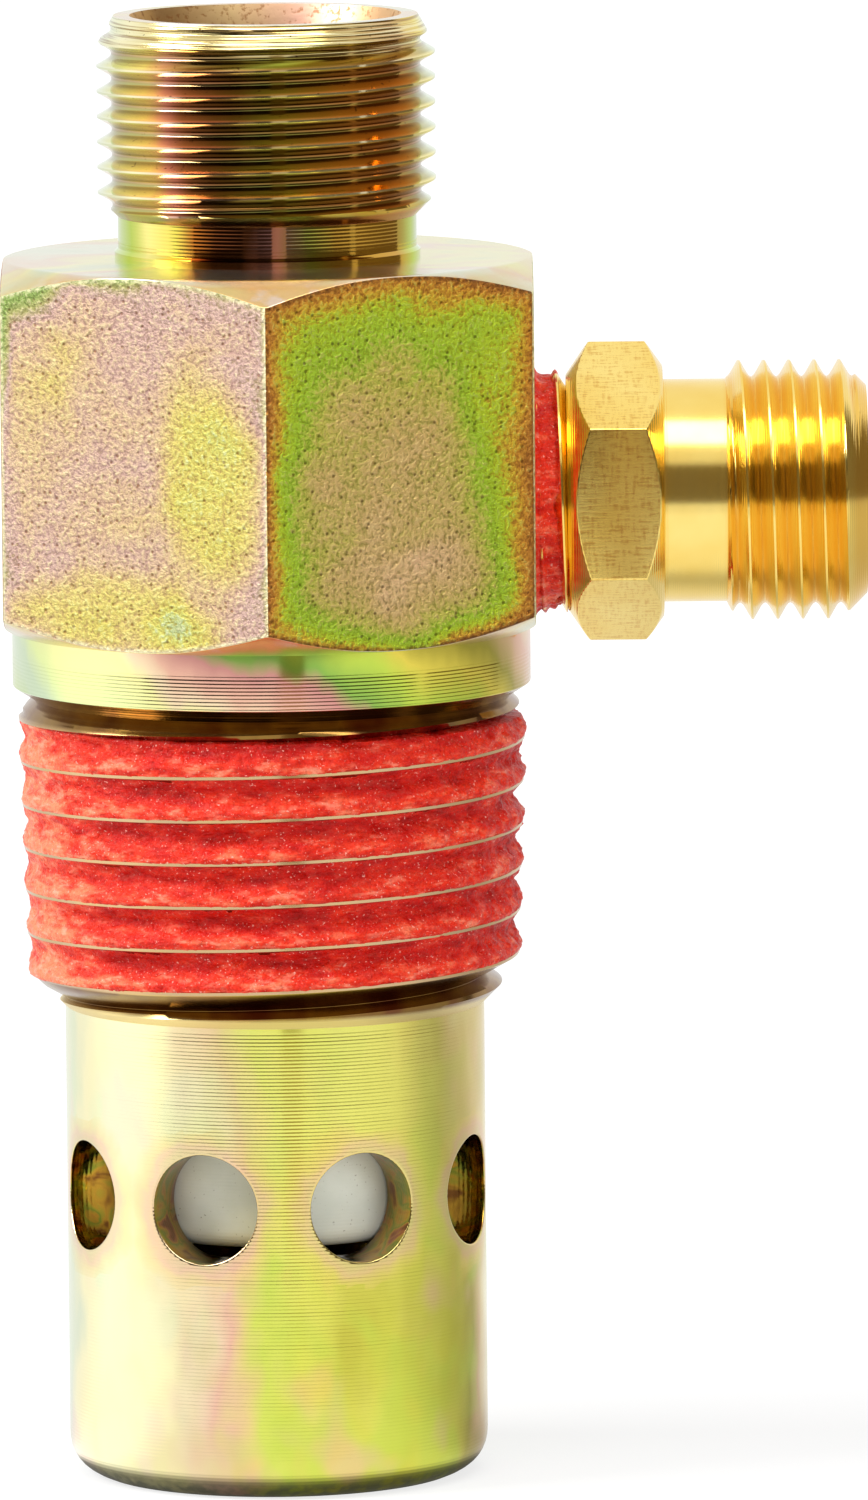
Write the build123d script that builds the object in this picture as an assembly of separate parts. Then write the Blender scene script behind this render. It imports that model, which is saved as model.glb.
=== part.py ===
"""In-tank non-return valve of an air compressor, as eight separate pieces.

The origin lies on the valve's axis in the plane of the cage's lower edge. +Z is up, towards the
inlet, and +X is the side of the unloader fitting. A corner of the hexagon points along -Y.
Threads are drawn as plain cylinders or cones: a bare thread at its crests, and a thread filled with
sealant at half its depth, with the sealant from there out to the crests.
"""
from build123d import *
from math import cos, radians, sqrt, tan
import os

# Heights of the valve body, from the cage's lower edge upwards
CAGE_LENGTH = 19.95
TANK_BAND_LENGTH = 13.02
COLLAR_LENGTH = 2.88
HEX_LENGTH = 15.62
NECK_LENGTH = 1.75
INLET_BAND_LENGTH = 8.42

# Outside of the valve body
HEX_HALF_ANGLE = 30
HEX_ACROSS_FLATS = 22.225
HEX_FACE_RADIUS = 11.05
HEX_CHAMFER_ANGLE = 30
COLLAR_RADIUS = 10.9
COLLAR_CHAMFER = 0.55
NOTCH_RADIUS = 10.04
NECK_RADIUS = 6.27
NECK_FOOT_WIDTH = 0.15
NECK_FOOT_HEIGHT = 0.3
INLET_CREST_RADIUS = 7.1
INLET_FACE_RADIUS = 6.38
INLET_LEAD_ANGLE = 30

# Tapered tank thread, half inch pipe
TANK_CREST_RADIUS = 10.69
TANK_THREAD_DEPTH = 1.451
PIPE_TAPER = 1 / 32

# Bores of the valve body
TUBE_RADIUS = 4.7625
TUBE_CLEARANCE = 0.0875
TUBE_DEPTH = 9.04
MOUTH_RADIUS = 5.7
MOUTH_HALF_ANGLE = 22.5
FLOW_RADIUS = 3.9

# Seat and spigot at the foot of the valve body
SPIGOT_LENGTH = 2.86
SPIGOT_CHAMFER = 0.3
SEAT_LIP_HEIGHT = 0.4
SEAT_LIP_WIDTH = 0.9
SEAT_LIP_CHAMFER = 0.15

# Outlet cage
CAGE_RADIUS = 8.83
CAGE_WALL = 2.33
SPIGOT_WALL = 1.43
SPIGOT_CLEARANCE = 0.05
SPIGOT_END_CLEARANCE = 0.1
HOLE_COUNT = 8
HOLE_RADIUS = 2.3
HOLE_HEIGHT = 12.28
DRILL_OVERRUN = 1
FIRST_HOLE_ANGLE = 25
ROLL_HEIGHT = 1.75
ROLL_WIDTH = 1.3
ROLL_BULGE = 0.12
LIP_RADIUS = 6.75
LIP_THICKNESS = 0.75

# End disc
DISC_THICKNESS = 1.4
DISC_CLEARANCE = 0.05
DISC_GROOVE_DEPTH = 0.9
VENT_RADIUS = 1.5
DISC_BOSS_HEIGHT = 0.8
DISC_BOSS_CHAMFER = 0.25

# Piston
PISTON_CLEARANCE = 0.08
PISTON_EDGE_HEIGHT = 10.3
PISTON_SEAT_GAP = 0.02
PISTON_STOP_GAP = 0.05
PISTON_TOP_CHAMFER = 0.6
PISTON_EDGE_FILLET = 0.8
PISTON_CUP_RADIUS = 4.75
PISTON_CUP_DEPTH = 4.6
PISTON_NOSE_HEIGHT = 0.9
PISTON_NOSE_CLEARANCE = 0.3
PISTON_NOSE_CHAMFER = 0.5

# Return spring
WIRE_RADIUS = 0.25
SPRING_CUP_CLEARANCE = 0.4
SPRING_END_GAP = 0.02
SPRING_OPEN_HALF_TURNS = 7
SPRING_CLOSED_HALF_TURNS = 2
SPRING_CLOSED_PITCH = 0.56

# Unloader fitting, at a rise above the foot of the hexagon, its lengths measured out from the flat
FITTING_RISE = 5.59
STUB_REACH = 4.4
STUB_CREST_RADIUS = 5.13
STUB_THREAD_DEPTH = 0.753
STUB_END_CHAMFER = 0.4
SEALANT_REACH = 1.03
BARE_STUB_RADIUS = 4.9
FITTING_HEX_OFFSET = 1.34
FITTING_ACROSS_FLATS = 10.95
FITTING_HEX_LENGTH = 4.07
FITTING_INNER_CONE_LENGTH = 0.97
FITTING_OUTER_CONE_LENGTH = 0.76
FITTING_OUTER_FACE_RADIUS = 5.26
SHANK_RADIUS = 4.68
SHANK_LENGTH = 2.63
OUTLET_BAND_LENGTH = 5.91
OUTLET_CREST_RADIUS = 5.45
OUTLET_FACE_RADIUS = 4.38
LINE_RADIUS = 3.175
LINE_CLEARANCE = 0.075
LINE_DEPTH = 6.5
LINE_MOUTH_RADIUS = 4.0
LINE_FLOW_RADIUS = 1.8

# Tapped port for the fitting
PORT_DRILL_RADIUS = 2.0
PORT_DEPTH = 4.6
PORT_CONE_HALF_ANGLE = 59

# Levels worked out from the heights
boss_end = CAGE_LENGTH
notch = boss_end + TANK_BAND_LENGTH
hex_bottom = notch + COLLAR_LENGTH
hex_top = hex_bottom + HEX_LENGTH
neck_top = hex_top + NECK_LENGTH
inlet_face = neck_top + INLET_BAND_LENGTH
spigot_end = boss_end - SPIGOT_LENGTH
seat = spigot_end - SEAT_LIP_HEIGHT
disc_bottom = LIP_THICKNESS
disc_top = disc_bottom + DISC_THICKNESS

# Radii worked out from the walls
bore_radius = CAGE_RADIUS - CAGE_WALL
socket_radius = CAGE_RADIUS - SPIGOT_WALL
spigot_radius = socket_radius - SPIGOT_CLEARANCE
groove_radius = bore_radius + DISC_GROOVE_DEPTH
disc_radius = groove_radius - DISC_CLEARANCE
piston_radius = bore_radius - PISTON_CLEARANCE
spring_radius = PISTON_CUP_RADIUS - SPRING_CUP_CLEARANCE - WIRE_RADIUS
disc_boss_radius = spring_radius - WIRE_RADIUS - SPRING_CUP_CLEARANCE
piston_top = seat - PISTON_SEAT_GAP
cup_ceiling = PISTON_EDGE_HEIGHT + PISTON_CUP_DEPTH
piston_travel = PISTON_EDGE_HEIGHT - disc_top - PISTON_STOP_GAP

# Height of the fitting's axis, and places along it
fitting_height = hex_bottom + FITTING_RISE
flat = HEX_ACROSS_FLATS / 2
stub_end = flat - STUB_REACH
sealant_face = flat + SEALANT_REACH
fitting_hex = flat + FITTING_HEX_OFFSET
shank = fitting_hex + FITTING_HEX_LENGTH
outlet_thread = shank + SHANK_LENGTH
outlet_face = outlet_thread + OUTLET_BAND_LENGTH


def turned(outline):
    """A closed outline of (radius, height) points, turned about the valve's axis."""
    points = [(radius, 0, height) for radius, height in outline]
    return revolve(make_face(Polyline(*points, close=True)), Axis.Z)


def turned_along_x(outline):
    """A closed outline of (distance, radius) points, turned about the fitting's axis."""
    points = [(distance, 0, radius) for distance, radius in outline]
    solid = revolve(make_face(Polyline(*points, close=True)), Axis.X)
    return Pos(0, 0, fitting_height) * solid


def tank_crest(height):
    """Crest radius of the tapered tank thread at a height."""
    return TANK_CREST_RADIUS - (notch - height) * PIPE_TAPER


def stub_crest(distance):
    """Crest radius of the fitting's tapered stub at a distance along its axis."""
    return STUB_CREST_RADIUS - (fitting_hex - distance) * PIPE_TAPER


def tank_band(depth):
    """Outline of the tank thread's band, from its lower chamfer to the notch, at a depth under its crests."""
    lead = (tank_crest(boss_end) - CAGE_RADIUS) / (1 - PIPE_TAPER)
    rise = (tank_crest(notch) - NOTCH_RADIUS) / (1 + PIPE_TAPER)
    low = boss_end + lead - depth
    high = notch - max(rise - depth, 0)
    return [(tank_crest(low) - depth, low), (tank_crest(high) - depth, high)]


def build_valve_body():
    half_depth = TANK_THREAD_DEPTH / 2
    corner = HEX_ACROSS_FLATS / 2 / cos(radians(HEX_HALF_ANGLE))
    hex_chamfer = (corner - HEX_FACE_RADIUS) * tan(radians(HEX_CHAMFER_ANGLE))
    inlet_lead = (INLET_CREST_RADIUS - INLET_FACE_RADIUS) / tan(radians(INLET_LEAD_ANGLE))
    neck_cone = INLET_CREST_RADIUS - NECK_RADIUS

    below_hex = turned([
        (0, seat),
        (FLOW_RADIUS + SEAT_LIP_WIDTH - SEAT_LIP_CHAMFER, seat),
        (FLOW_RADIUS + SEAT_LIP_WIDTH, seat + SEAT_LIP_CHAMFER),
        (FLOW_RADIUS + SEAT_LIP_WIDTH, spigot_end),
        (spigot_radius - SPIGOT_CHAMFER, spigot_end),
        (spigot_radius, spigot_end + SPIGOT_CHAMFER),
        (spigot_radius, boss_end),
        (CAGE_RADIUS, boss_end),
        *tank_band(half_depth),
        (NOTCH_RADIUS, notch),
        (COLLAR_RADIUS, notch + COLLAR_CHAMFER),
        (COLLAR_RADIUS, hex_bottom),
        (0, hex_bottom),
    ])

    hexagon = Pos(0, 0, hex_bottom) * extrude(
        RegularPolygon(corner, 6, rotation=HEX_HALF_ANGLE), amount=HEX_LENGTH
    )
    hexagon &= turned([
        (0, hex_bottom),
        (HEX_FACE_RADIUS, hex_bottom),
        (corner, hex_bottom + hex_chamfer),
        (corner, hex_top - hex_chamfer),
        (HEX_FACE_RADIUS, hex_top),
        (0, hex_top),
    ])

    above_hex = turned([
        (0, hex_top),
        (NECK_RADIUS + NECK_FOOT_WIDTH, hex_top),
        (NECK_RADIUS + NECK_FOOT_WIDTH, hex_top + NECK_FOOT_HEIGHT),
        (NECK_RADIUS, hex_top + NECK_FOOT_HEIGHT + NECK_FOOT_WIDTH),
        (NECK_RADIUS, neck_top),
        (INLET_CREST_RADIUS, neck_top + neck_cone),
        (INLET_CREST_RADIUS, inlet_face - inlet_lead),
        (INLET_FACE_RADIUS, inlet_face),
        (0, inlet_face),
    ])

    socket = TUBE_RADIUS + TUBE_CLEARANCE
    mouth_depth = (MOUTH_RADIUS - socket) / tan(radians(MOUTH_HALF_ANGLE))
    bore = turned([
        (0, seat),
        (FLOW_RADIUS, seat),
        (FLOW_RADIUS, inlet_face - TUBE_DEPTH),
        (socket, inlet_face - TUBE_DEPTH),
        (socket, inlet_face - mouth_depth),
        (MOUTH_RADIUS, inlet_face),
        (0, inlet_face),
    ])

    port_wall = stub_crest(flat)
    port_end = flat - PORT_DEPTH
    port_end_wall = stub_crest(port_end)
    cone_length = (port_end_wall - PORT_DRILL_RADIUS) / tan(radians(PORT_CONE_HALF_ANGLE))
    port = turned_along_x([
        (0, 0),
        (0, PORT_DRILL_RADIUS),
        (port_end - cone_length, PORT_DRILL_RADIUS),
        (port_end, port_end_wall),
        (flat, port_wall),
        (fitting_hex, port_wall),
        (fitting_hex, 0),
    ])
    return below_hex + hexagon + above_hex - bore - port


def build_outlet_cage():
    roll_foot = CAGE_RADIUS - ROLL_WIDTH
    middle_radius = CAGE_RADIUS - ROLL_WIDTH / 2
    slope = sqrt(ROLL_WIDTH**2 + ROLL_HEIGHT**2)
    bulge = (
        middle_radius + ROLL_BULGE * ROLL_HEIGHT / slope,
        0,
        ROLL_HEIGHT / 2 - ROLL_BULGE * ROLL_WIDTH / slope,
    )
    ledge = spigot_end - SPIGOT_END_CLEARANCE
    rolled_edge = ThreePointArc((roll_foot, 0, 0), bulge, (CAGE_RADIUS, 0, ROLL_HEIGHT))
    wall = Polyline(
        (CAGE_RADIUS, 0, ROLL_HEIGHT),
        (CAGE_RADIUS, 0, boss_end),
        (socket_radius, 0, boss_end),
        (socket_radius, 0, ledge),
        (bore_radius, 0, ledge),
        (bore_radius, 0, disc_top),
        (groove_radius, 0, disc_top),
        (groove_radius, 0, disc_bottom),
        (LIP_RADIUS, 0, disc_bottom),
        (LIP_RADIUS, 0, 0),
        (roll_foot, 0, 0),
    )
    cage = revolve(make_face(rolled_edge + wall), Axis.Z)
    drill = Pos(0, 0, HOLE_HEIGHT) * Rot(90, 0, 0) * Cylinder(
        HOLE_RADIUS, CAGE_RADIUS + DRILL_OVERRUN, align=(Align.CENTER, Align.CENTER, Align.MIN)
    )
    for number in range(HOLE_COUNT):
        angle = FIRST_HOLE_ANGLE + number * 360 / HOLE_COUNT
        cage -= Rot(0, 0, angle) * drill
    return cage


def build_end_disc():
    return turned([
        (VENT_RADIUS, disc_bottom),
        (disc_radius, disc_bottom),
        (disc_radius, disc_top),
        (disc_boss_radius, disc_top),
        (disc_boss_radius, disc_top + DISC_BOSS_HEIGHT - DISC_BOSS_CHAMFER),
        (disc_boss_radius - DISC_BOSS_CHAMFER, disc_top + DISC_BOSS_HEIGHT),
        (VENT_RADIUS, disc_top + DISC_BOSS_HEIGHT),
    ])


def build_piston():
    nose_radius = FLOW_RADIUS - PISTON_NOSE_CLEARANCE
    nose_top = piston_top + PISTON_NOSE_HEIGHT
    body = turned([
        (0, PISTON_EDGE_HEIGHT),
        (piston_radius, PISTON_EDGE_HEIGHT),
        (piston_radius, piston_top - PISTON_TOP_CHAMFER),
        (piston_radius - PISTON_TOP_CHAMFER, piston_top),
        (nose_radius, piston_top),
        (nose_radius, nose_top - PISTON_NOSE_CHAMFER),
        (nose_radius - PISTON_NOSE_CHAMFER, nose_top),
        (0, nose_top),
    ])
    lower_edge = body.edges().filter_by_position(Axis.Z, PISTON_EDGE_HEIGHT, PISTON_EDGE_HEIGHT)
    body = fillet(lower_edge.sort_by(SortBy.RADIUS)[-1], PISTON_EDGE_FILLET)
    cup = turned([
        (0, PISTON_EDGE_HEIGHT),
        (PISTON_CUP_RADIUS, PISTON_EDGE_HEIGHT),
        (PISTON_CUP_RADIUS, cup_ceiling),
        (0, cup_ceiling),
    ])
    return body - cup


def build_return_spring():
    """Closed turns at both ends and open ones between, each half turn an arc in its own tilted plane."""
    low = disc_top + SPRING_END_GAP + WIRE_RADIUS
    high = cup_ceiling - SPRING_END_GAP - WIRE_RADIUS
    closed_rise = SPRING_CLOSED_PITCH / 2
    open_rise = (high - low - 2 * SPRING_CLOSED_HALF_TURNS * closed_rise) / SPRING_OPEN_HALF_TURNS
    closed_rises = [closed_rise] * SPRING_CLOSED_HALF_TURNS
    rises = closed_rises + [open_rise] * SPRING_OPEN_HALF_TURNS + closed_rises

    half_turns = []
    side = 1
    height = low
    for rise in rises:
        start = (side * spring_radius, 0, height)
        crown = (0, side * sqrt(spring_radius**2 + (rise / 2) ** 2), height + rise / 2)
        end = (-side * spring_radius, 0, height + rise)
        half_turns.append(ThreePointArc(start, crown, end).edge())
        side = -side
        height += rise
    line = Wire(half_turns)
    section = Plane(line @ 0, z_dir=line % 0) * Circle(WIRE_RADIUS)
    return sweep(section, path=line)


def build_unloader_fitting():
    half_depth = STUB_THREAD_DEPTH / 2
    corner = FITTING_ACROSS_FLATS / 2 / cos(radians(HEX_HALF_ANGLE))
    stub = turned_along_x([
        (stub_end, 0),
        (stub_end, stub_crest(stub_end) - half_depth - STUB_END_CHAMFER),
        (stub_end + STUB_END_CHAMFER, stub_crest(stub_end) - half_depth),
        (sealant_face, stub_crest(sealant_face) - half_depth),
        (sealant_face, BARE_STUB_RADIUS),
        (fitting_hex, BARE_STUB_RADIUS),
        (fitting_hex, 0),
    ])

    hex_prism = Pos(fitting_hex, 0, fitting_height) * Rot(0, 90, 0) * extrude(
        RegularPolygon(corner, 6), amount=FITTING_HEX_LENGTH
    )
    hex_prism &= turned_along_x([
        (fitting_hex, 0),
        (fitting_hex, BARE_STUB_RADIUS),
        (fitting_hex + FITTING_INNER_CONE_LENGTH, corner),
        (shank - FITTING_OUTER_CONE_LENGTH, corner),
        (shank, FITTING_OUTER_FACE_RADIUS),
        (shank, 0),
    ])

    thread_lead = OUTLET_CREST_RADIUS - OUTLET_FACE_RADIUS
    thread_foot = OUTLET_CREST_RADIUS - SHANK_RADIUS
    outlet = turned_along_x([
        (shank, 0),
        (shank, SHANK_RADIUS),
        (outlet_thread, SHANK_RADIUS),
        (outlet_thread + thread_foot / 2, OUTLET_CREST_RADIUS),
        (outlet_face - thread_lead, OUTLET_CREST_RADIUS),
        (outlet_face, OUTLET_FACE_RADIUS),
        (outlet_face, 0),
    ])

    socket = LINE_RADIUS + LINE_CLEARANCE
    mouth_depth = (LINE_MOUTH_RADIUS - socket) / tan(radians(MOUTH_HALF_ANGLE))
    bore = turned_along_x([
        (stub_end, 0),
        (stub_end, LINE_FLOW_RADIUS),
        (outlet_face - LINE_DEPTH, LINE_FLOW_RADIUS),
        (outlet_face - LINE_DEPTH, socket),
        (outlet_face - mouth_depth, socket),
        (outlet_face, LINE_MOUTH_RADIUS),
        (outlet_face, 0),
    ])
    return stub + hex_prism + outlet - bore


def build_tank_thread_sealant():
    (low_crest, low), (high_crest, high) = tank_band(0)
    (low_half, low_inner), (high_half, high_inner) = tank_band(TANK_THREAD_DEPTH / 2)
    return turned([(low_half, low_inner), (low_crest, low), (high_crest, high), (high_half, high_inner)])


def build_unloader_thread_sealant():
    half_depth = STUB_THREAD_DEPTH / 2
    inner_face = stub_end + STUB_END_CHAMFER
    return turned_along_x([
        (inner_face, stub_crest(inner_face) - half_depth),
        (inner_face, stub_crest(inner_face)),
        (flat, stub_crest(flat)),
        (sealant_face, stub_crest(flat)),
        (sealant_face, stub_crest(sealant_face) - half_depth),
    ])


BUILDERS = {
    "valve_body": build_valve_body,
    "outlet_cage": build_outlet_cage,
    "end_disc": build_end_disc,
    "piston": build_piston,
    "return_spring": build_return_spring,
    "unloader_fitting": build_unloader_fitting,
    "tank_thread_sealant": build_tank_thread_sealant,
    "unloader_thread_sealant": build_unloader_thread_sealant,
}

os.makedirs("parts", exist_ok=True)
for node, builder in BUILDERS.items():
    export_step(builder(), f"parts/{node}.step")
print(f"piston travel {piston_travel:.3f} mm, overall height {inlet_face:.2f} mm")
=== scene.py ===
"""Looks of the in-tank non-return valve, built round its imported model.

Lengths are in mm in the valve's frame and become metres where a mesh is made. The valve's axis is
+Z, the fitting's axis is along +X, and a corner of the hexagon points at -Y, towards the camera.
"""
import math

import bmesh
import bpy
import numpy as np
from mathutils import Matrix, Vector, noise


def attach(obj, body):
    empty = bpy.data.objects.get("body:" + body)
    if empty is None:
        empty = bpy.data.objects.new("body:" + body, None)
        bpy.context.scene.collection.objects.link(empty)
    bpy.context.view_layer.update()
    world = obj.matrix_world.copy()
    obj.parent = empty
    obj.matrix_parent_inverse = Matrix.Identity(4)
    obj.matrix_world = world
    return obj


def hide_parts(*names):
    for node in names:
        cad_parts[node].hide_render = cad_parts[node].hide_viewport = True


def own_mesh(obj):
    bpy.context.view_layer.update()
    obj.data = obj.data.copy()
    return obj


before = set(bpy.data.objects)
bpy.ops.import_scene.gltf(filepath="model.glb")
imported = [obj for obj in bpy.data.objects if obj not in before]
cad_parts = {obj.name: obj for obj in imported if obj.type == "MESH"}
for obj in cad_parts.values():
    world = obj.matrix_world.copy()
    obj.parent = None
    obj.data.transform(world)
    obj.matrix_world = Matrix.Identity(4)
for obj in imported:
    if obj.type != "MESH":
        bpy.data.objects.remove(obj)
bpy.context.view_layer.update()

MM = 0.001
TURN = 2 * math.pi
WELD = 2e-7

# Heights on the valve's axis
SEAT = 16.69
SPIGOT_END = 17.09
BOSS_END = 19.95
NOTCH = 32.97
HEX_BOTTOM = 35.85
HEX_TOP = 51.47
NECK_TOP = 53.22
INLET_FACE = 61.64

# Inlet and bore
FLOW_RADIUS = 3.9
SOCKET_RADIUS = 4.85
SOCKET_FLOOR = 52.6
MOUTH_FLOOR = 59.588
MOUTH_RADIUS = 5.7
RIM_RADIUS = 6.38
INLET_CREST = 7.1
INLET_DEPTH = 0.62
CREST_HALF = 0.04
ROOT_BLEND = 0.3
INLET_LEAD_SLOPE = math.tan(math.radians(30))
FINE_PITCH = 25.4 / 24
INLET_LEFT_CREST_HEIGHT = 57.41

# Neck, hexagon and collar
NECK_RADIUS = 6.27
NECK_FOOT_RADIUS = 6.42
NECK_FOOT_HEIGHT = 0.3
HEX_FLAT = 22.225 / 2
HEX_FACE_RADIUS = 11.05
HEX_SLOPE = math.tan(math.radians(30))
HEX_EDGE_ROUND = 0.35
EDGE_SOFTNESS = 0.12
FINE_SOFTNESS = 0.05
COLLAR_RADIUS = 10.9
COLLAR_CHAMFER = 0.55
NOTCH_RADIUS = 10.04

# Tapered tank thread
TANK_PITCH = 25.4 / 14
TANK_CREST = 10.69
TANK_DEPTH = 1.451
TANK_TAPER = 1 / 32
TANK_CREST_HALF = 0.034
TANK_ROOT_HALF = 0.004
TANK_FRONT_CREST_HEIGHT = 21.67
WASHOUT_LOW = 32.1
WASHOUT_HIGH = 32.75

# Spigot under the thread
SPIGOT_RADIUS = 7.35
SEAT_LIP_RADIUS = 4.8

# Cage
CAGE_RADIUS = 8.83
CAGE_BORE = 6.5
CAGE_SOCKET = 7.4
CAGE_LEDGE = 16.99
CAGE_GROOVE = 7.4
DISC_BOTTOM = 0.75
DISC_TOP = 2.15
LIP_RADIUS = 6.75
ROLL_FOOT = 7.53
ROLL_HEIGHT = 1.75
HOLE_RADIUS = 2.3
HOLE_HEIGHT = 12.28
HOLE_COUNT = 8
FIRST_HOLE_ANGLE = math.radians(-90 + 25)
HOLE_EDGE = 0.07
HOLE_BAND = 3.4

# Unloader fitting, along +X
FITTING_HEIGHT = 41.44
STUB_END = 6.7125
STUB_CREST = 5.1
STUB_DEPTH = 0.72
STUB_PITCH = 25.4 / 27
STUB_TOP_CREST_DISTANCE = 12.02
FITTING_HEX = 12.4525
FITTING_FLAT = 10.95 / 2
FITTING_INNER_CONE = 0.97
FITTING_OUTER_CONE = 0.76
FITTING_OUTER_FACE = 5.26
FITTING_EDGE_ROUND = 0.12
SHANK = 16.5225
SHANK_RADIUS = 4.68
OUTLET_THREAD = 19.1525
OUTLET_CREST = 5.45
OUTLET_DEPTH = 0.7
OUTLET_TOP_CREST_DISTANCE = 21.85
OUTLET_FACE = 25.0625
OUTLET_FACE_RADIUS = 4.38
LINE_MOUTH_RADIUS = 4.0
LINE_MOUTH_FLOOR = 23.252
LINE_SOCKET_RADIUS = 3.25
LINE_SOCKET_FLOOR = 18.5625
LINE_FLOW_RADIUS = 1.8

# Return spring
SPRING_RADIUS = 4.1
WIRE_RADIUS = 0.25
SPRING_LOW = 2.42
SPRING_HIGH = 14.63
SPRING_CLOSED_PITCH = 0.56
SPRING_OPEN_TURNS = 3.5


# Meshes

def smooth_step(low, high, value):
    """0 below low, 1 above high, and a smooth rise between."""
    share = np.clip((value - low) / (high - low), 0, 1)
    return share * share * (3 - 2 * share)


def soften(points, size, steps=3):
    """Rounds the inner corners of a line of (radius, height) points, each of them an array over the columns."""
    points = [np.array(point, float) for point in points]
    line = [points[0]]
    for before, corner, after in zip(points, points[1:], points[2:]):
        reach = []
        for other in (before, after):
            length = np.maximum(np.hypot(*(other - corner)), 1e-9)
            reach.append((other - corner) * np.minimum(size / length, 0.4))
        for step in range(steps + 1):
            share = step / steps
            line.append(corner + reach[0] * (1 - share) ** 2 + reach[1] * share**2)
    return line + [points[-1]]


def ring(angles, *points):
    """A line of (radius, height) points with each number spread over the columns."""
    return [np.array([np.broadcast_to(part, angles.shape) for part in point], float) for point in points]


def rows_of(line, between=0):
    """Arrays of radius and height, row by row, with extra rows between."""
    rows = []
    for start, end in zip(line, line[1:]):
        for step in range(between + 1):
            rows.append(start + (end - start) * step / (between + 1))
    return np.array(rows + [line[-1]])


def helix_rows(angles, low, high, pitch, start, offsets):
    """Heights of rows that climb with the thread, kept between low and high. start is a crest at angle 0."""
    first = math.floor((low - start) / pitch) - 2
    last = math.ceil((high - start) / pitch) + 1
    bases = [start + pitch * (turn + offset) for turn in range(last, first - 1, -1) for offset in offsets[::-1]]
    heights = np.array(bases)[:, None] + pitch * angles / TURN
    kept = ((heights > low) & (heights < high)).any(axis=1)
    kept[:-1] |= kept[1:].copy()
    kept[1:] |= kept[:-1].copy()
    return np.clip(heights[kept], low, high)


def from_crest(angles, heights, pitch, start):
    """Distance from the nearest crest, as a share of the pitch."""
    turns = (heights - start) / pitch - angles / TURN
    return np.abs(turns - np.round(turns))


def fine_groove(share, pitch, depth):
    """Depth in mm of a 60 degree groove with a narrow crest and a round root."""
    flank = np.maximum(share - CREST_HALF, 0) * pitch / math.tan(math.radians(30)) / depth
    level = np.clip(0.5 + (1 - flank) / ROOT_BLEND / 2, 0, 1)
    return depth * (1 + (flank - 1) * level - ROOT_BLEND * level * (1 - level))


def vee_groove(share, crest_half, root_half):
    """Depth of a groove with straight flanks, from 0 to 1."""
    return np.clip((share - crest_half) / (0.5 - crest_half - root_half), 0, 1)


def hex_reach(angles, flat, edge_round, first_normal):
    """Distance from the axis to a hexagon with rounded corners, at each angle."""
    sector = math.radians(60)
    off_normal = (angles - first_normal + sector / 2) % sector - sector / 2
    straight = flat / np.cos(off_normal)
    centre = (flat - edge_round) / math.cos(sector / 2)
    off_corner = sector / 2 - np.abs(off_normal)
    under_root = np.maximum(edge_round**2 - (centre * np.sin(off_corner)) ** 2, 0)
    arc = centre * np.cos(off_corner) + np.sqrt(under_root)
    tangent = sector / 2 - math.atan((flat * math.tan(sector / 2) - edge_round * math.tan(sector / 2)) / flat)
    return np.where(off_corner < tangent, arc, straight)


def upright(angles, radii, heights):
    """Points round the valve's axis."""
    return np.stack([radii * np.cos(angles), radii * np.sin(angles), heights], axis=-1)


def along_x(angles, radii, distances):
    """Points round the fitting's axis."""
    return np.stack([distances, radii * np.cos(angles), FITTING_HEIGHT + radii * np.sin(angles)], axis=-1)


def grid_faces(rows, columns, first=0):
    """Quads of a grid of points, row by row."""
    corner = first + np.arange(rows - 1)[:, None] * columns + np.arange(columns - 1)
    return np.stack([corner, corner + 1, corner + columns + 1, corner + columns], axis=-1).reshape(-1, 4)


def make_piece(name, points, faces, slots, materials, sharp=35, values=None):
    """A welded mesh of points in mm, with a material for each face and named numbers for each point."""
    mesh = bpy.data.meshes.new(name)
    mesh.from_pydata((points * MM).tolist(), [], faces.tolist())
    mesh.polygons.foreach_set("material_index", np.broadcast_to(slots, len(faces)).astype(np.int32))
    for key, numbers in (values or {}).items():
        mesh.attributes.new(key, "FLOAT", "POINT").data.foreach_set("value", numbers.astype(np.float32))
    sheet = bmesh.new()
    sheet.from_mesh(mesh)
    bmesh.ops.remove_doubles(sheet, verts=sheet.verts, dist=WELD)
    bmesh.ops.recalc_face_normals(sheet, faces=sheet.faces)
    sheet.to_mesh(mesh)
    sheet.free()
    mesh.polygons.foreach_set("use_smooth", np.ones(len(mesh.polygons), bool))
    mesh.set_sharp_from_angle(angle=math.radians(sharp))
    for material in materials:
        mesh.materials.append(material)
    piece = bpy.data.objects.new(name, mesh)
    bpy.context.scene.collection.objects.link(piece)
    return piece


def make_turned(name, angles, bands, materials, place=upright, sharp=35, values=None):
    """A closed piece from bands, each an array of radius and height rows with the number of its material."""
    rows = np.concatenate([band for band, _ in bands] + [bands[0][0][:1]])
    slots = np.concatenate([np.full(len(band), slot) for band, slot in bands])
    points = place(angles, rows[:, 0], rows[:, 1]).reshape(-1, 3)
    faces = grid_faces(len(rows), len(angles))
    face_slots = np.repeat(np.append(slots[1:], slots[0]), len(angles) - 1)
    numbers = {key: work(angles, rows[:, 0], rows[:, 1]).reshape(-1) for key, work in (values or {}).items()}
    return make_piece(name, points, faces, face_slots, materials, sharp, numbers)


def corner_angles(first_corner):
    """Angles all round, closer together at the corners of a hexagon."""
    half = [0, 0.2, 0.4, 0.6, 0.8, 1.2, 1.8, 2.6, 3.6, 4.8, 6.1, 7.5]
    half += list(np.linspace(9, 30, 15))
    sector = half[:-1] + [60 - offset for offset in half[:0:-1]]
    degrees = [corner * 60 + offset for corner in range(6) for offset in sector] + [360]
    return np.radians(degrees) + first_corner


# Materials

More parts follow.
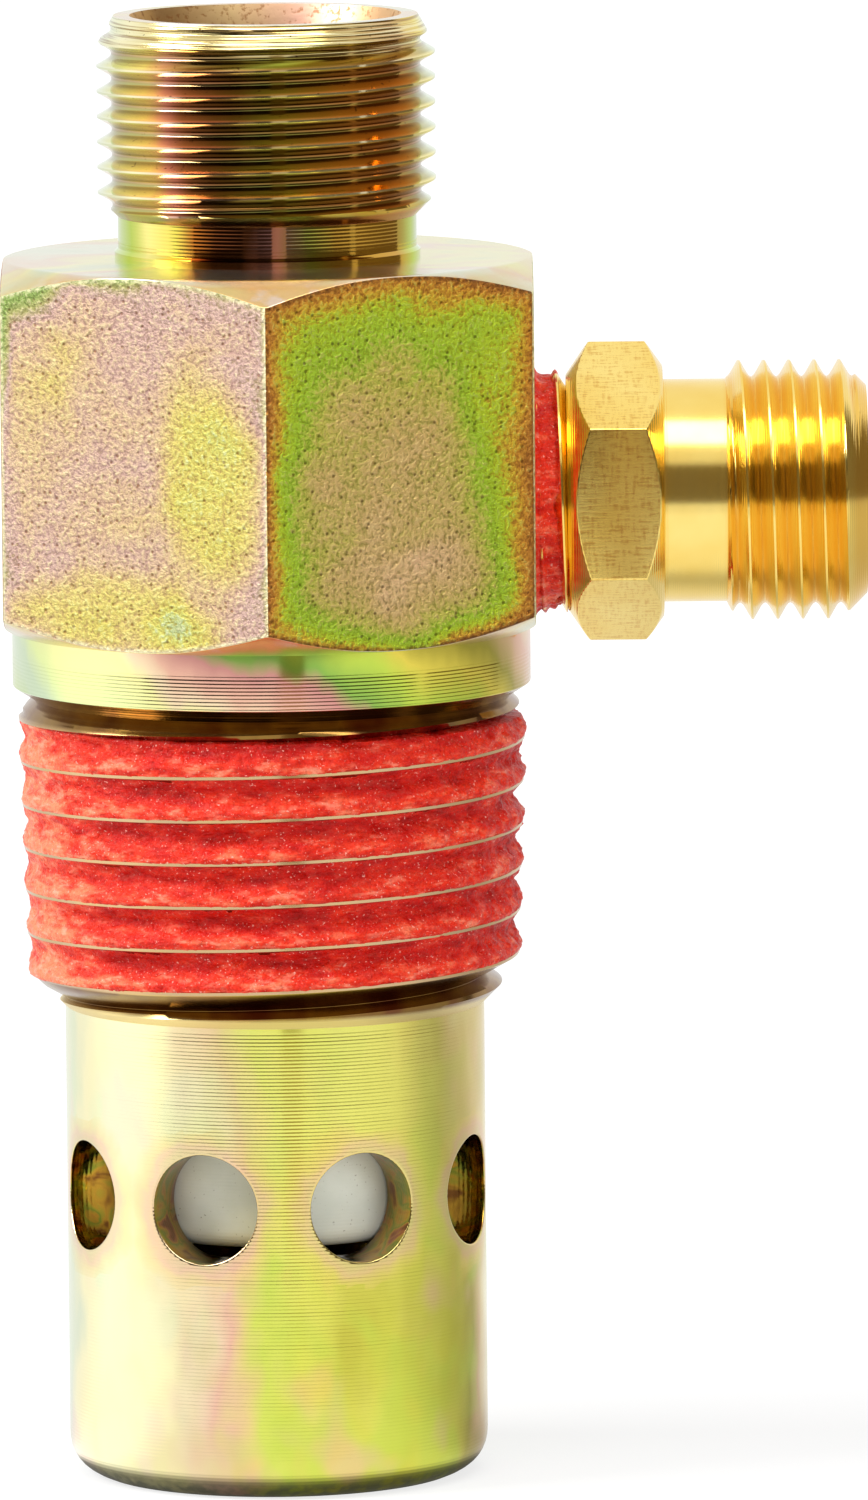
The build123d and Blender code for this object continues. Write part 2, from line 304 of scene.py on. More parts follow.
def colour(red, green, blue):
    """A screen colour from 0 to 255, as the renderer counts light."""
    parts = np.array([red, green, blue]) / 255
    return (*np.where(parts <= 0.04045, parts / 12.92, ((parts + 0.055) / 1.055) ** 2.4), 1)


CREAM = colour(250, 243, 196)
PALE_YELLOW = colour(248, 236, 140)
YELLOW = colour(236, 216, 88)
LIME = colour(196, 218, 84)
GREEN = colour(142, 186, 66)
MINT = colour(208, 226, 190)
PINK = colour(236, 186, 160)
ROSE = colour(212, 150, 140)
LILAC = colour(214, 178, 170)
TAN = colour(216, 180, 126)
SAND = colour(222, 196, 150)
GOLD = colour(206, 158, 62)
OLIVE = colour(176, 164, 64)
ORANGE = colour(206, 124, 46)
BROWN = colour(140, 92, 50)
DARK_BROWN = colour(92, 56, 34)


class Nodes:
    """The nodes of one material, joined as they are added."""

    def __init__(self, name):
        self.material = bpy.data.materials.new(name)
        self.material.use_nodes = True
        self.tree = self.material.node_tree
        self.tree.nodes.clear()
        place = self.add("ShaderNodeTexCoord").outputs["Object"]
        self.place = self.add("ShaderNodeVectorMath", {0: place, "Scale": 1 / MM}, operation="SCALE").outputs[0]
        parts = self.add("ShaderNodeSeparateXYZ", {0: self.place}).outputs
        self.x, self.y, self.z = parts[0], parts[1], parts[2]
        squares = [self.math("MULTIPLY", part, part) for part in (self.x, self.y)]
        self.radius = self.math("SQRT", self.math("ADD", *squares))

    def add(self, kind, inputs=None, **settings):
        node = self.tree.nodes.new(kind)
        for key, value in settings.items():
            setattr(node, key, value)
        for key, value in (inputs or {}).items():
            if isinstance(value, bpy.types.NodeSocket):
                self.tree.links.new(value, node.inputs[key])
            else:
                node.inputs[key].default_value = value
        return node

    def math(self, operation, *values, clamp=False):
        inputs = dict(enumerate(values))
        return self.add("ShaderNodeMath", inputs, operation=operation, use_clamp=clamp).outputs[0]

    def noise(self, size, detail=2, stretch=(1, 1, 1), shift=0, warp=0, roughness=0.5):
        """Cloudy numbers round 0.5, with lumps of a size in mm."""
        scale = tuple(1 / (size * part) for part in stretch)
        spot = self.add("ShaderNodeMapping", {"Vector": self.place, "Scale": scale, "Location": (shift,) * 3})
        inputs = {"Vector": spot.outputs[0], "Scale": 1, "Detail": detail, "Distortion": warp, "Roughness": roughness}
        return self.add("ShaderNodeTexNoise", inputs).outputs[0]

    def cells(self, size, shift=0):
        """Distance from the middle of cells of a size in mm, and a random number for each cell."""
        spot = self.add("ShaderNodeMapping", {"Vector": self.place, "Scale": (1 / size,) * 3, "Location": (shift,) * 3})
        outputs = self.add("ShaderNodeTexVoronoi", {"Vector": spot.outputs[0], "Scale": 1}).outputs
        return outputs["Distance"], self.add("ShaderNodeSeparateXYZ", {0: outputs["Color"]}).outputs[0]

    def range(self, value, low, high, to_low=0, to_high=1, smooth=False):
        kind = "SMOOTHSTEP" if smooth else "LINEAR"
        inputs = {0: value, 1: low, 2: high, 3: to_low, 4: to_high}
        return self.add("ShaderNodeMapRange", inputs, interpolation_type=kind).outputs[0]

    def mix(self, share, first, second, blend="MIX"):
        node = self.add("ShaderNodeMix", {0: share, 6: first, 7: second}, data_type="RGBA", blend_type=blend)
        return node.outputs[2]

    def ramp(self, value, stops, smooth="LINEAR"):
        node = self.add("ShaderNodeValToRGB", {0: value})
        band = node.color_ramp
        band.interpolation = smooth
        while len(band.elements) > 1:
            band.elements.remove(band.elements[0])
        band.elements[0].position, band.elements[0].color = stops[0]
        for position, shade in stops[1:]:
            band.elements.new(position).color = shade
        return node.outputs[0]

    def bump(self, height, depth, under=None, strength=1.0):
        inputs = {"Height": height, "Distance": depth * MM, "Strength": strength}
        if under is not None:
            inputs["Normal"] = under
        return self.add("ShaderNodeBump", inputs).outputs[0]

    def finish(self, base, roughness, normal=None, **constants):
        inputs = {"Base Color": base, "Roughness": roughness}
        if normal is not None:
            inputs["Normal"] = normal
        inputs.update({key.replace("_", " "): value for key, value in constants.items()})
        shader = self.add("ShaderNodeBsdfPrincipled", inputs)
        output = self.add("ShaderNodeOutputMaterial", {0: shader.outputs[0]})
        return self.material


def turned_lines(nodes, along, pitch, depth, strength=1.0):
    """Tool marks that run round a turned surface, some deeper than others."""
    wave = nodes.math("SINE", nodes.math("MULTIPLY", along, TURN / pitch))
    spot = nodes.add("ShaderNodeCombineXYZ", {0: nodes.math("MULTIPLY", along, 1 / (pitch * 2.3))})
    spread = nodes.add("ShaderNodeTexNoise", {"Vector": spot.outputs[0], "Scale": 1, "Detail": 2}).outputs[0]
    height = nodes.math("MULTIPLY", wave, nodes.range(spread, 0.3, 0.7, 0.6, 1))
    return nodes.bump(nodes.math("ADD", height, spread), depth, strength=strength)


def bearing(nodes, drift=0.0, size=5, shift=3.1, lean=0.0):
    """The angle round the valve's axis, as a share of a turn from the left side round the front, with some drift."""
    angle = nodes.math("ARCTAN2", nodes.y, nodes.x)
    turn = nodes.math("ADD", nodes.math("DIVIDE", angle, TURN), 0.5)
    turn = nodes.math("ADD", turn, nodes.math("MULTIPLY", nodes.math("SUBTRACT", nodes.z, HEX_BOTTOM), lean))
    wander = nodes.math("SUBTRACT", nodes.noise(size, 3, (1, 1, 1.8), shift), 0.5)
    return nodes.math("FRACT", nodes.math("ADD", turn, nodes.math("MULTIPLY", wander, drift)))


# Colours round the cage: the film's own colours, except that the pale stops from 0 to 0.17, on the left-front side
# where the left panel is mirrored, are painted highlight.
CAGE_HUES = [
    (0.00, MINT), (0.05, colour(222, 230, 200)), (0.09, CREAM), (0.14, colour(250, 240, 186)),
    (0.17, colour(240, 214, 176)), (0.2, PINK), (0.225, colour(230, 210, 132)), (0.25, colour(216, 224, 100)),
    (0.3, colour(222, 224, 92)), (0.34, colour(216, 214, 84)), (0.38, colour(200, 194, 76)), (0.42, OLIVE),
    (0.455, TAN), (0.5, CREAM),
    (0.58, LIME), (0.66, PINK), (0.74, YELLOW), (0.82, LIME), (0.9, PALE_YELLOW), (1.00, MINT),
]
# Colours round the collar: the film's own colours, except that the pale stops from 0 to 0.13, on the left-front side
# where the left panel is mirrored, are painted highlight.
COLLAR_HUES = [
    (0.00, MINT), (0.03, MINT), (0.07, colour(232, 244, 170)), (0.13, colour(248, 242, 166)),
    (0.15, colour(246, 220, 180)), (0.175, PINK), (0.215, ROSE), (0.24, colour(142, 184, 84)), (0.29, LIME), (0.34, YELLOW), (0.38, OLIVE),
    (0.42, TAN), (0.46, PINK), (0.52, CREAM), (0.6, LIME), (0.7, ROSE), (0.8, YELLOW), (0.9, LIME), (1.00, MINT),
]
# Colours round the neck: the film's own colours, with painted highlight in the pale yellow stops from 0.07 to 0.16,
# where the left panel is mirrored, and painted reflection of the dark room in front in the dark browns at 0.2 and 0.23.
NECK_HUES = [
    (0.00, MINT), (0.07, LIME), (0.11, PALE_YELLOW), (0.16, YELLOW), (0.18, ORANGE), (0.2, colour(120, 66, 34)),
    (0.23, colour(120, 72, 44)), (0.26, ROSE), (0.29, colour(150, 150, 66)), (0.32, colour(176, 136, 52)),
    (0.36, GOLD), (0.42, GOLD), (0.46, LIME), (0.5, MINT), (0.6, GOLD), (0.75, ORANGE), (0.88, YELLOW), (1.00, LIME),
]
# Inlet thread: flanks that face down, flanks that face up, and crests. Over the film's colours these tables paint
# light: the split by flank paints the different reflections of flanks facing down and up, the pale stops on the left
# and the pale crests are painted highlight, and the darker stops from about 0.17 to 0.31 are painted reflection of the
# dark room in front.
DOWN_HUES = [
    (0.00, SAND), (0.05, colour(228, 202, 152)), (0.08, colour(246, 214, 152)), (0.125, colour(250, 208, 140)),
    (0.15, colour(236, 170, 150)), (0.17, colour(190, 126, 90)), (0.21, colour(146, 104, 60)), (0.25, colour(156, 124, 64)),
    (0.31, colour(176, 122, 66)), (0.38, colour(216, 138, 66)), (0.44, colour(226, 156, 84)), (0.5, SAND), (0.62, GOLD),
    (0.78, ROSE), (0.9, GOLD), (1.00, SAND),
]
UP_HUES = [
    (0.00, MINT), (0.05, colour(222, 222, 150)), (0.08, colour(240, 244, 150)), (0.125, colour(252, 244, 160)),
    (0.15, colour(246, 196, 176)), (0.17, colour(190, 160, 112)), (0.2, colour(150, 138, 76)), (0.24, colour(150, 160, 82)),
    (0.27, colour(172, 184, 84)), (0.33, colour(194, 172, 82)), (0.4, colour(216, 172, 76)), (0.45, OLIVE), (0.5, MINT),
    (0.7, OLIVE), (0.85, YELLOW), (1.00, MINT),
]
CREST_HUES = [
    (0.00, MINT), (0.1, CREAM), (0.19, PINK), (0.28, CREAM), (0.38, SAND), (0.46, PALE_YELLOW), (0.5, MINT), (1.00, MINT),
]
# Thin coating up to 0.5, thick coating above
FILM_HUES = [
    (0.00, colour(150, 176, 96)), (0.1, colour(186, 182, 118)), (0.2, colour(212, 176, 166)), (0.27, colour(220, 188, 150)),
    (0.34, colour(222, 198, 128)), (0.4, colour(222, 208, 108)), (0.45, colour(212, 210, 112)), (0.49, colour(190, 206, 150)),
    (0.5, colour(184, 118, 52)), (0.56, colour(214, 150, 56)), (0.61, colour(220, 186, 58)), (0.66, colour(192, 214, 54)),
    (0.73, colour(172, 208, 58)), (0.8, colour(204, 198, 90)), (0.88, colour(220, 188, 118)), (1.00, colour(244, 200, 158)),
]


def cage_finish():
    nodes = Nodes("cage_chromate")
    vivid = nodes.ramp(bearing(nodes, 0.26, 5.5), CAGE_HUES)
    # Cream where the bearing is under 0.12 and pale yellow beyond: the paler left-front side is painted highlight.
    front = nodes.range(bearing(nodes), 0.12, 0.24)
    soft = nodes.mix(0.4, vivid, nodes.mix(front, CREAM, PALE_YELLOW))
    base = nodes.mix(nodes.range(nodes.z, 6, 17, smooth=True), vivid, soft)
    patch = nodes.range(nodes.noise(2.2, 4, (1, 1, 1.6), 8.2), 0.45, 0.75)
    base = nodes.mix(nodes.math("MULTIPLY", nodes.math("MULTIPLY", patch, 0.2), front), base, PALE_YELLOW)
    for size, shift, low, hue in ((3.4, 2.2, 0.46, LIME), (3.8, 6.1, 0.56, PINK), (3, 9.9, 0.54, colour(236, 204, 110))):
        spots = nodes.range(nodes.noise(size, 2, (1, 1, 1.3), shift), low, low + 0.16, 0, 0.5, True)
        spots = nodes.math("MULTIPLY", spots, nodes.range(nodes.z, 17, 12, 0.4, 1))
        base = nodes.mix(nodes.math("MULTIPLY", spots, front), base, hue)
    # Pale mint and pale pink spots from the left side to the left front only: painted highlight, mottled.
    for size, shift, hue in ((3.5, 4.4, colour(214, 232, 196)), (4, 7.3, colour(246, 214, 200))):
        spots = nodes.range(nodes.noise(size, 2, (1, 1, 1.5), shift), 0.5, 0.64, 0, 0.5, True)
        base = nodes.mix(nodes.math("MULTIPLY", spots, nodes.range(front, 1, 0)), base, hue)
    rim = nodes.add("ShaderNodeAttribute", attribute_name="rim_mm").outputs["Fac"]
    spread = nodes.math("ADD", rim, nodes.range(nodes.noise(1.5, 3), 0.3, 0.7, -0.3, 0.3))
    halo = nodes.ramp(nodes.math("DIVIDE", spread, 2), [(0, SAND), (0.2, PINK), (0.4, colour(240, 208, 130)), (0.8, YELLOW)])
    base = nodes.mix(nodes.range(spread, 1.5, 0.3, 0, 0.55), base, halo)
    # Mottled grey round the foot: painted shade of the floor contact.
    foot_contact_shade = nodes.math("MULTIPLY", nodes.range(nodes.z, 0.85, 0.4), nodes.range(nodes.noise(0.7, 4), 0.38, 0.56))
    base = nodes.mix(nodes.math("MULTIPLY", foot_contact_shade, 0.7), base, colour(150, 152, 126))
    normal = turned_lines(nodes, nodes.z, 0.152, 0.0018, nodes.range(nodes.z, 19.8, 19.7))
    roughness = nodes.range(nodes.noise(3, 3), 0.3, 0.7, 0.12, 0.2)
    return nodes.finish(base, roughness, normal, Metallic=1.0)


def bore_finish():
    nodes = Nodes("hole_wall_chromate")
    cloud = nodes.range(nodes.noise(1.4, 3, (1, 1, 1), 4.6, 0.8), 0.3, 0.7)
    stops = [
        (0, BROWN), (0.25, GOLD), (0.45, OLIVE), (0.6, colour(140, 150, 60)), (0.75, GOLD), (0.9, colour(180, 110, 70)),
        (1, BROWN),
    ]
    depth = nodes.range(nodes.radius, 6.5, 8.6)
    normal = turned_lines(nodes, nodes.radius, 0.2, 0.001)
    normal = nodes.bump(nodes.noise(0.5, 3), 0.012, normal)
    # Browner on the inner half of each hole's wall: painted shade deeper in the hole.
    base = nodes.mix(nodes.math("MULTIPLY", nodes.range(depth, 0.5, 0.1), 0.5), nodes.ramp(cloud, stops), BROWN)
    return nodes.finish(base, 0.12, normal, Metallic=1.0)


def turned_finish(name, hues, drift=0.06, size=4, depth=0.003, rough=0.1, smooth_above=99.0, lean=0.0):
    nodes = Nodes(name)
    base = nodes.ramp(bearing(nodes, drift, size, lean=lean), hues)
    lines = nodes.range(nodes.z, smooth_above, smooth_above - 0.1)
    normal = turned_lines(nodes, nodes.z, 0.153, depth, lines)
    roughness = nodes.range(nodes.noise(2, 3), 0.3, 0.7, rough, rough * 1.6)
    return nodes.finish(base, roughness, normal, Metallic=1.0)


def face_finish():
    nodes = Nodes("face_chromate")
    cloud = nodes.range(nodes.noise(7, 3, (1, 1, 0.7), 9.1, 0.4), 0.28, 0.72)
    stops = [
        (0, colour(206, 216, 190)), (0.3, colour(222, 224, 202)), (0.5, colour(226, 206, 182)), (0.7, colour(230, 226, 170)),
        (1, colour(206, 216, 190)),
    ]
    speck = nodes.range(nodes.noise(0.25, 2), 0.3, 0.24)
    base = nodes.mix(nodes.math("MULTIPLY", speck, 0.4), nodes.ramp(cloud, stops), TAN)
    slope = nodes.range(nodes.radius, HEX_FACE_RADIUS, HEX_FACE_RADIUS + 0.5)
    streak = nodes.range(nodes.noise(1.2, 3, shift=5.1), 0.3, 0.7)
    warm = nodes.ramp(streak, [(0, colour(226, 196, 172)), (0.4, colour(226, 180, 108)), (1, colour(222, 190, 112))])
    front = nodes.math("ABSOLUTE", nodes.math("SUBTRACT", bearing(nodes), 0.25), 0)
    warmth = nodes.math("MULTIPLY", slope, nodes.range(front, 0.19, 0.1, 0.12, 0.85))
    base = nodes.mix(warmth, base, warm)
    return nodes.finish(base, 0.22, nodes.bump(nodes.noise(0.5, 3), 0.006), Metallic=1.0)


def mouth_finish():
    nodes = Nodes("mouth_chromate")
    base = nodes.ramp(bearing(nodes, 0.08, 3), [
        (0, GOLD), (0.25, GOLD), (0.5, TAN), (0.62, colour(196, 156, 118)), (0.7, colour(206, 160, 138)),
        (0.78, colour(198, 168, 120)), (0.9, colour(176, 136, 84)), (1, GOLD),
    ])
    speck = nodes.range(nodes.noise(0.3, 3, roughness=0.6), 0.46, 0.36)
    base = nodes.mix(nodes.math("MULTIPLY", speck, 0.7), base, BROWN)
    normal = nodes.bump(nodes.noise(0.3, 3), 0.01)
    return nodes.finish(base, nodes.range(speck, 0, 1, 0.42, 0.55), normal, Metallic=1.0)


def pitted_finish():
    nodes = Nodes("hex_pitted_chromate")
    rim = nodes.add("ShaderNodeAttribute", attribute_name="edge_mm").outputs["Fac"]
    film = nodes.add("ShaderNodeAttribute", attribute_name="film").outputs["Fac"]
    thick = nodes.math("GREATER_THAN", film, 0.5)
    cloud = nodes.math("MULTIPLY", nodes.math("SUBTRACT", nodes.noise(4, 4, shift=2.4, warp=0.8), 0.5), 0.26)
    grain = nodes.noise(0.19, 4, roughness=0.6)
    tint = nodes.math("MULTIPLY", nodes.math("SUBTRACT", grain, 0.5), 0.24)
    shift = nodes.math("ADD", film, nodes.math("ADD", cloud, tint))
    thin_film = nodes.ramp(nodes.math("MINIMUM", shift, 0.49), FILM_HUES)
    thick_film = nodes.ramp(nodes.math("MAXIMUM", shift, 0.505), FILM_HUES)
    base = nodes.mix(thick, thin_film, thick_film)
    middle, chance = nodes.cells(0.28)
    pit = nodes.math("MULTIPLY", nodes.range(middle, 0.34, 0.16), nodes.math("GREATER_THAN", chance, 0.6))
    # Dark pits, and painted shade in the low parts of the grain.
    hollow = nodes.math("MAXIMUM", nodes.math("MULTIPLY", pit, 0.7), nodes.range(grain, 0.5, 0.36, 0, 0.4))
    base = nodes.mix(hollow, base, nodes.mix(thick, colour(166, 120, 84), colour(104, 84, 44)), "MULTIPLY")
    # Paler grain peaks: painted highlight.
    painted_grain_highlight = nodes.mix(thick, CREAM, colour(214, 200, 120))
    base = nodes.mix(nodes.range(grain, 0.54, 0.66, 0, 0.35), base, painted_grain_highlight)
    # Along the edges of the flats: painted highlight on thin-coated flats and painted shade on thick-coated ones.
    painted_edge_light = nodes.math("MULTIPLY", nodes.range(rim, 0.2, 0.06), nodes.range(nodes.noise(0.25, 3), 0.36, 0.5))
    base = nodes.mix(nodes.math("MULTIPLY", painted_edge_light, 0.7), base, nodes.mix(thick, CREAM, colour(104, 66, 34)))
    height = nodes.math("SUBTRACT", grain, nodes.math("MULTIPLY", pit, 0.25))
    return nodes.finish(base, 0.38, nodes.bump(height, 0.36), Metallic=0.85, Specular_IOR_Level=0.3)


def thread_finish():
    nodes = Nodes("thread_chromate")
    flank = nodes.add("ShaderNodeAttribute", attribute_name="flank").outputs["Fac"]
    turn = bearing(nodes, 0.05, 3)
    base = nodes.mix(nodes.range(flank, -0.3, 0.3), nodes.ramp(turn, UP_HUES), nodes.ramp(turn, DOWN_HUES))
    # Darker towards the roots of the grooves: painted shade.
    painted_groove_shade = nodes.range(nodes.radius, INLET_CREST - 0.34, INLET_CREST - 0.54)
    # Pale crest colours: painted highlight.
    top = nodes.range(nodes.radius, INLET_CREST - 0.16, INLET_CREST - 0.03)
    base = nodes.mix(nodes.math("MULTIPLY", painted_groove_shade, 0.5), base, DARK_BROWN)
    base = nodes.mix(top, base, nodes.ramp(turn, CREST_HUES))
    lead = nodes.range(nodes.z, 60.2, 60.5)
    # Lead cone colours: the pale stops on the left are painted highlight.
    cone_hues = [
        (0, MINT), (0.08, CREAM), (0.13, colour(226, 208, 140)), (0.2, colour(206, 184, 120)), (0.3, colour(190, 172, 104)),
        (0.4, TAN), (0.45, YELLOW), (0.5, MINT), (0.8, SAND), (1, MINT),
    ]
    lines = nodes.range(nodes.noise(0.09, 2, (60, 60, 1)), 0.4, 0.6)
    cone = nodes.mix(nodes.range(lines, 0.5, 0, 0, 0.6), nodes.ramp(bearing(nodes, 0.08, 3), cone_hues), BROWN)
    base = nodes.mix(lead, base, nodes.mix(nodes.range(lines, 0.6, 1, 0, 0.6), cone, CREAM))
    normal = turned_lines(nodes, nodes.z, 0.16, 0.008, lead)
    normal = nodes.bump(nodes.noise(0.4, 3, (3, 3, 0.2)), 0.0012, normal)
    speck = nodes.range(nodes.noise(0.22, 2, shift=6.4), 0.29, 0.25)
    base = nodes.mix(speck, base, DARK_BROWN)
    return nodes.finish(base, nodes.range(lead, 0, 1, 0.1, 0.16), normal, Metallic=1.0)


def tank_thread_finish():
    nodes = Nodes("tank_thread_chromate")
    cloud = nodes.range(nodes.noise(2.5, 3, (1, 1, 1.4), 7.7), 0.3, 0.7)
    crest = nodes.range(nodes.z, BOSS_END, NOTCH, TANK_CREST - (NOTCH - BOSS_END) * TANK_TAPER, TANK_CREST)
    # Darker in the grooves of the thread and, further up, in the notch: painted shade.
    under = nodes.math("SUBTRACT", crest, nodes.radius)
    painted_groove_shade = nodes.ramp(cloud, [(0, colour(116, 80, 48)), (0.5, colour(146, 112, 54)), (1, colour(122, 76, 44))])
    base = nodes.mix(nodes.range(under, 0.03, 0.13), nodes.ramp(cloud, [(0, TAN), (1, colour(206, 178, 140))]), painted_groove_shade)
    # Pale cream on the lowest part of the chamfer just above the cage: painted reflection of the floor.
    base = nodes.mix(nodes.range(nodes.z, BOSS_END + 0.5, BOSS_END + 0.3), base, colour(236, 214, 150))
    base = nodes.mix(nodes.range(nodes.z, WASHOUT_LOW, WASHOUT_LOW + 0.3), base, painted_groove_shade)
    normal = turned_lines(nodes, nodes.radius, 0.2, 0.002, nodes.range(nodes.z, WASHOUT_LOW, WASHOUT_LOW + 0.3))
    roughness = nodes.range(nodes.z, BOSS_END + 0.5, BOSS_END + 0.3, 0.17, 0.34)
    return nodes.finish(base, roughness, nodes.bump(nodes.noise(0.3, 3, (3, 3, 0.3)), 0.002, normal), Metallic=1.0)


def brass_finish(name, brushed):
    nodes = Nodes(name)
    cloud = nodes.range(nodes.noise(4, 3, shift=1.7), 0.3, 0.7)
    base = nodes.ramp(cloud, [(0, colour(246, 208, 104)), (1, colour(252, 224, 132))])
    if brushed:
        marks = nodes.noise(0.1, 3, (8, 1, 1), shift=0.4, roughness=0.65)
        across = nodes.noise(0.12, 3, (1, 6, 6), shift=3.3)
        marks = nodes.math("ADD", nodes.math("MULTIPLY", marks, 0.6), nodes.math("MULTIPLY", across, 0.4))
        base = nodes.mix(nodes.range(marks, 0.5, 0.38, 0, 0.5), base, colour(206, 156, 84), "MULTIPLY")
        return nodes.finish(base, 0.24, nodes.bump(marks, 0.004), Metallic=1.0)
    off = nodes.math("SUBTRACT", nodes.z, FITTING_HEIGHT)
    reach = nodes.math("SQRT", nodes.math("ADD", nodes.math("MULTIPLY", nodes.y, nodes.y), nodes.math("MULTIPLY", off, off)))
    # Deeper orange towards the roots of the outlet thread: painted shade.
    groove = nodes.math("MULTIPLY", nodes.range(reach, OUTLET_CREST - 0.3, OUTLET_CREST - 0.6), nodes.range(nodes.x, 19, 19.3))
    base = nodes.mix(nodes.math("MULTIPLY", groove, 0.6), base, colour(240, 186, 78))
    return nodes.finish(base, 0.17, turned_lines(nodes, nodes.x, 0.09, 0.003), Metallic=1.0)


def sealant_finish():
    nodes = Nodes("red_sealant")
    groove = nodes.add("ShaderNodeAttribute", attribute_name="groove").outputs["Fac"]
    cloud = nodes.range(nodes.noise(1.3, 4, (1, 1, 0.35), 4.4), 0.3, 0.7)
    # Lighter just above each crest, where the sealant faces up: painted light.
    lower = nodes.math("MULTIPLY", nodes.range(groove, 0.4, 0.8), nodes.range(groove, 0.99, 0.94))
    # Lighter on the left side: painted light.
    left = nodes.range(bearing(nodes, 0.06), 0.17, 0.05, smooth=True)
    level = nodes.math("ADD", nodes.math("MULTIPLY", cloud, 0.6), nodes.math("MULTIPLY", lower, 0.3))
    level = nodes.math("ADD", level, nodes.math("MULTIPLY", left, 0.5))
    stops = [(0, colour(164, 6, 2)), (0.3, colour(202, 20, 8)), (0.65, colour(232, 50, 22)), (1, colour(253, 134, 94))]
    base = nodes.ramp(level, stops)
    grain = nodes.noise(0.16, 3, roughness=0.6)
    base = nodes.mix(nodes.range(grain, 0.5, 0.36, 0, 0.35), base, colour(160, 10, 6))
    # Pinkish blots, more where the level is high: painted sheen.
    painted_sheen = nodes.range(nodes.noise(0.5, 4, (1.4, 1.4, 0.5), 9.3, roughness=0.65), 0.52, 0.62)
    painted_sheen = nodes.math("MULTIPLY", painted_sheen, nodes.range(level, 0.4, 1.1, 0.05, 0.8))
    base = nodes.mix(painted_sheen, base, colour(255, 164, 134))
    # Small pale specks: painted glints.
    painted_glint = nodes.range(nodes.noise(0.11, 2, shift=2.2), 0.66, 0.7, 0, 0.6)
    base = nodes.mix(painted_glint, base, colour(255, 196, 180))
    normal = nodes.bump(nodes.math("ADD", grain, nodes.noise(0.4, 3, (1.3, 1.3, 0.6))), 0.13)
    return nodes.finish(base, 0.34, normal, Specular_IOR_Level=0.22)


def ptfe_finish():
    nodes = Nodes("white_ptfe")
    cloud = nodes.range(nodes.noise(2.5, 4), 0.3, 0.7)
    base = nodes.ramp(cloud, [(0, colour(222, 227, 216)), (1, colour(240, 243, 234))])
    specks = nodes.range(nodes.noise(0.12, 1), 0.28, 0.22)
    base = nodes.mix(nodes.math("MULTIPLY", specks, 0.6), base, colour(120, 112, 92))
    return nodes.finish(base, 0.45, turned_lines(nodes, nodes.z, 0.15, 0.002))


def steel_finish(name, tint, rough):
    nodes = Nodes(name)
    cloud = nodes.range(nodes.noise(1.2, 4), 0.3, 0.7)
    base = nodes.mix(cloud, tint, colour(232, 226, 200))
    normal = nodes.bump(nodes.noise(0.15, 3), 0.01)
    return nodes.finish(base, nodes.range(cloud, 0, 1, rough, rough + 0.1), normal, Metallic=1.0)


PITTED, TURNED, BRIGHT, THREAD, TANK, NECK, MOUTH = range(7)
body_finishes = [
    pitted_finish(),
    turned_finish("collar_chromate", COLLAR_HUES, drift=0.16, depth=0.004, smooth_above=35.0, lean=0.03),
    face_finish(),
    thread_finish(),
    tank_thread_finish(),
    turned_finish("neck_chromate", NECK_HUES, depth=0.0012, rough=0.05),
    mouth_finish(),
]
cage_steel = [cage_finish(), bore_finish()]
brass = [brass_finish("brass_turned", False), brass_finish("brass_brushed", True)]
red_sealant = sealant_finish()
white_ptfe = ptfe_finish()
disc_steel = steel_finish("zinc_plate", colour(206, 200, 160), 0.3)
spring_steel = steel_finish("drawn_wire", colour(190, 190, 194), 0.22)


# Valve body

inlet_start = INLET_LEFT_CREST_HEIGHT - FINE_PITCH / 2
tank_start = TANK_FRONT_CREST_HEIGHT + TANK_PITCH / 4
FINE_ROWS = [CREST_HALF, 0.13, 0.22, 0.3, 0.36, 0.42, 0.5, 0.58, 0.64, 0.7, 0.78, 0.87, 1 - CREST_HALF]
COARSE_ROWS = [TANK_CREST_HALF, 0.12, 0.22, 0.32, 0.42, 0.5 - TANK_ROOT_HALF, 0.5 + TANK_ROOT_HALF]
COARSE_ROWS += [0.58, 0.68, 0.78, 0.88, 1 - TANK_CREST_HALF]


def inlet_radius(angles, heights):
    share = from_crest(angles, heights, FINE_PITCH, inlet_start)
    thread = INLET_CREST - fine_groove(share, FINE_PITCH, INLET_DEPTH)
    lead = RIM_RADIUS + (INLET_FACE - heights) * INLET_LEAD_SLOPE
    foot = NECK_RADIUS + (heights - NECK_TOP)
    return np.minimum(np.minimum(thread, lead), foot)


def tank_crest(heights):
    return TANK_CREST - (NOTCH - heights) * TANK_TAPER


def tank_radius(angles, heights):
    share = from_crest(angles, heights, TANK_PITCH, tank_start)
    depth = TANK_DEPTH * (1 - smooth_step(WASHOUT_LOW, WASHOUT_HIGH, heights))
    thread = tank_crest(heights) - depth * vee_groove(share, TANK_CREST_HALF, TANK_ROOT_HALF)
    upper = NOTCH_RADIUS + (NOTCH - heights)
    lower = CAGE_RADIUS + (heights - BOSS_END)
    return np.minimum(np.minimum(thread, upper), lower)


# For each flat from the front corner on: film at the rim, growth inwards and its reach in mm
FLAT_FILMS = [(0.51, 0.25, 1.2), (0.02, 0.3, 1.0), (0.54, 0.3, 1.6), (0.05, 0.3, 1.2), (0.52, 0.36, 2.0), (0.12, 0.11, 0.25)]

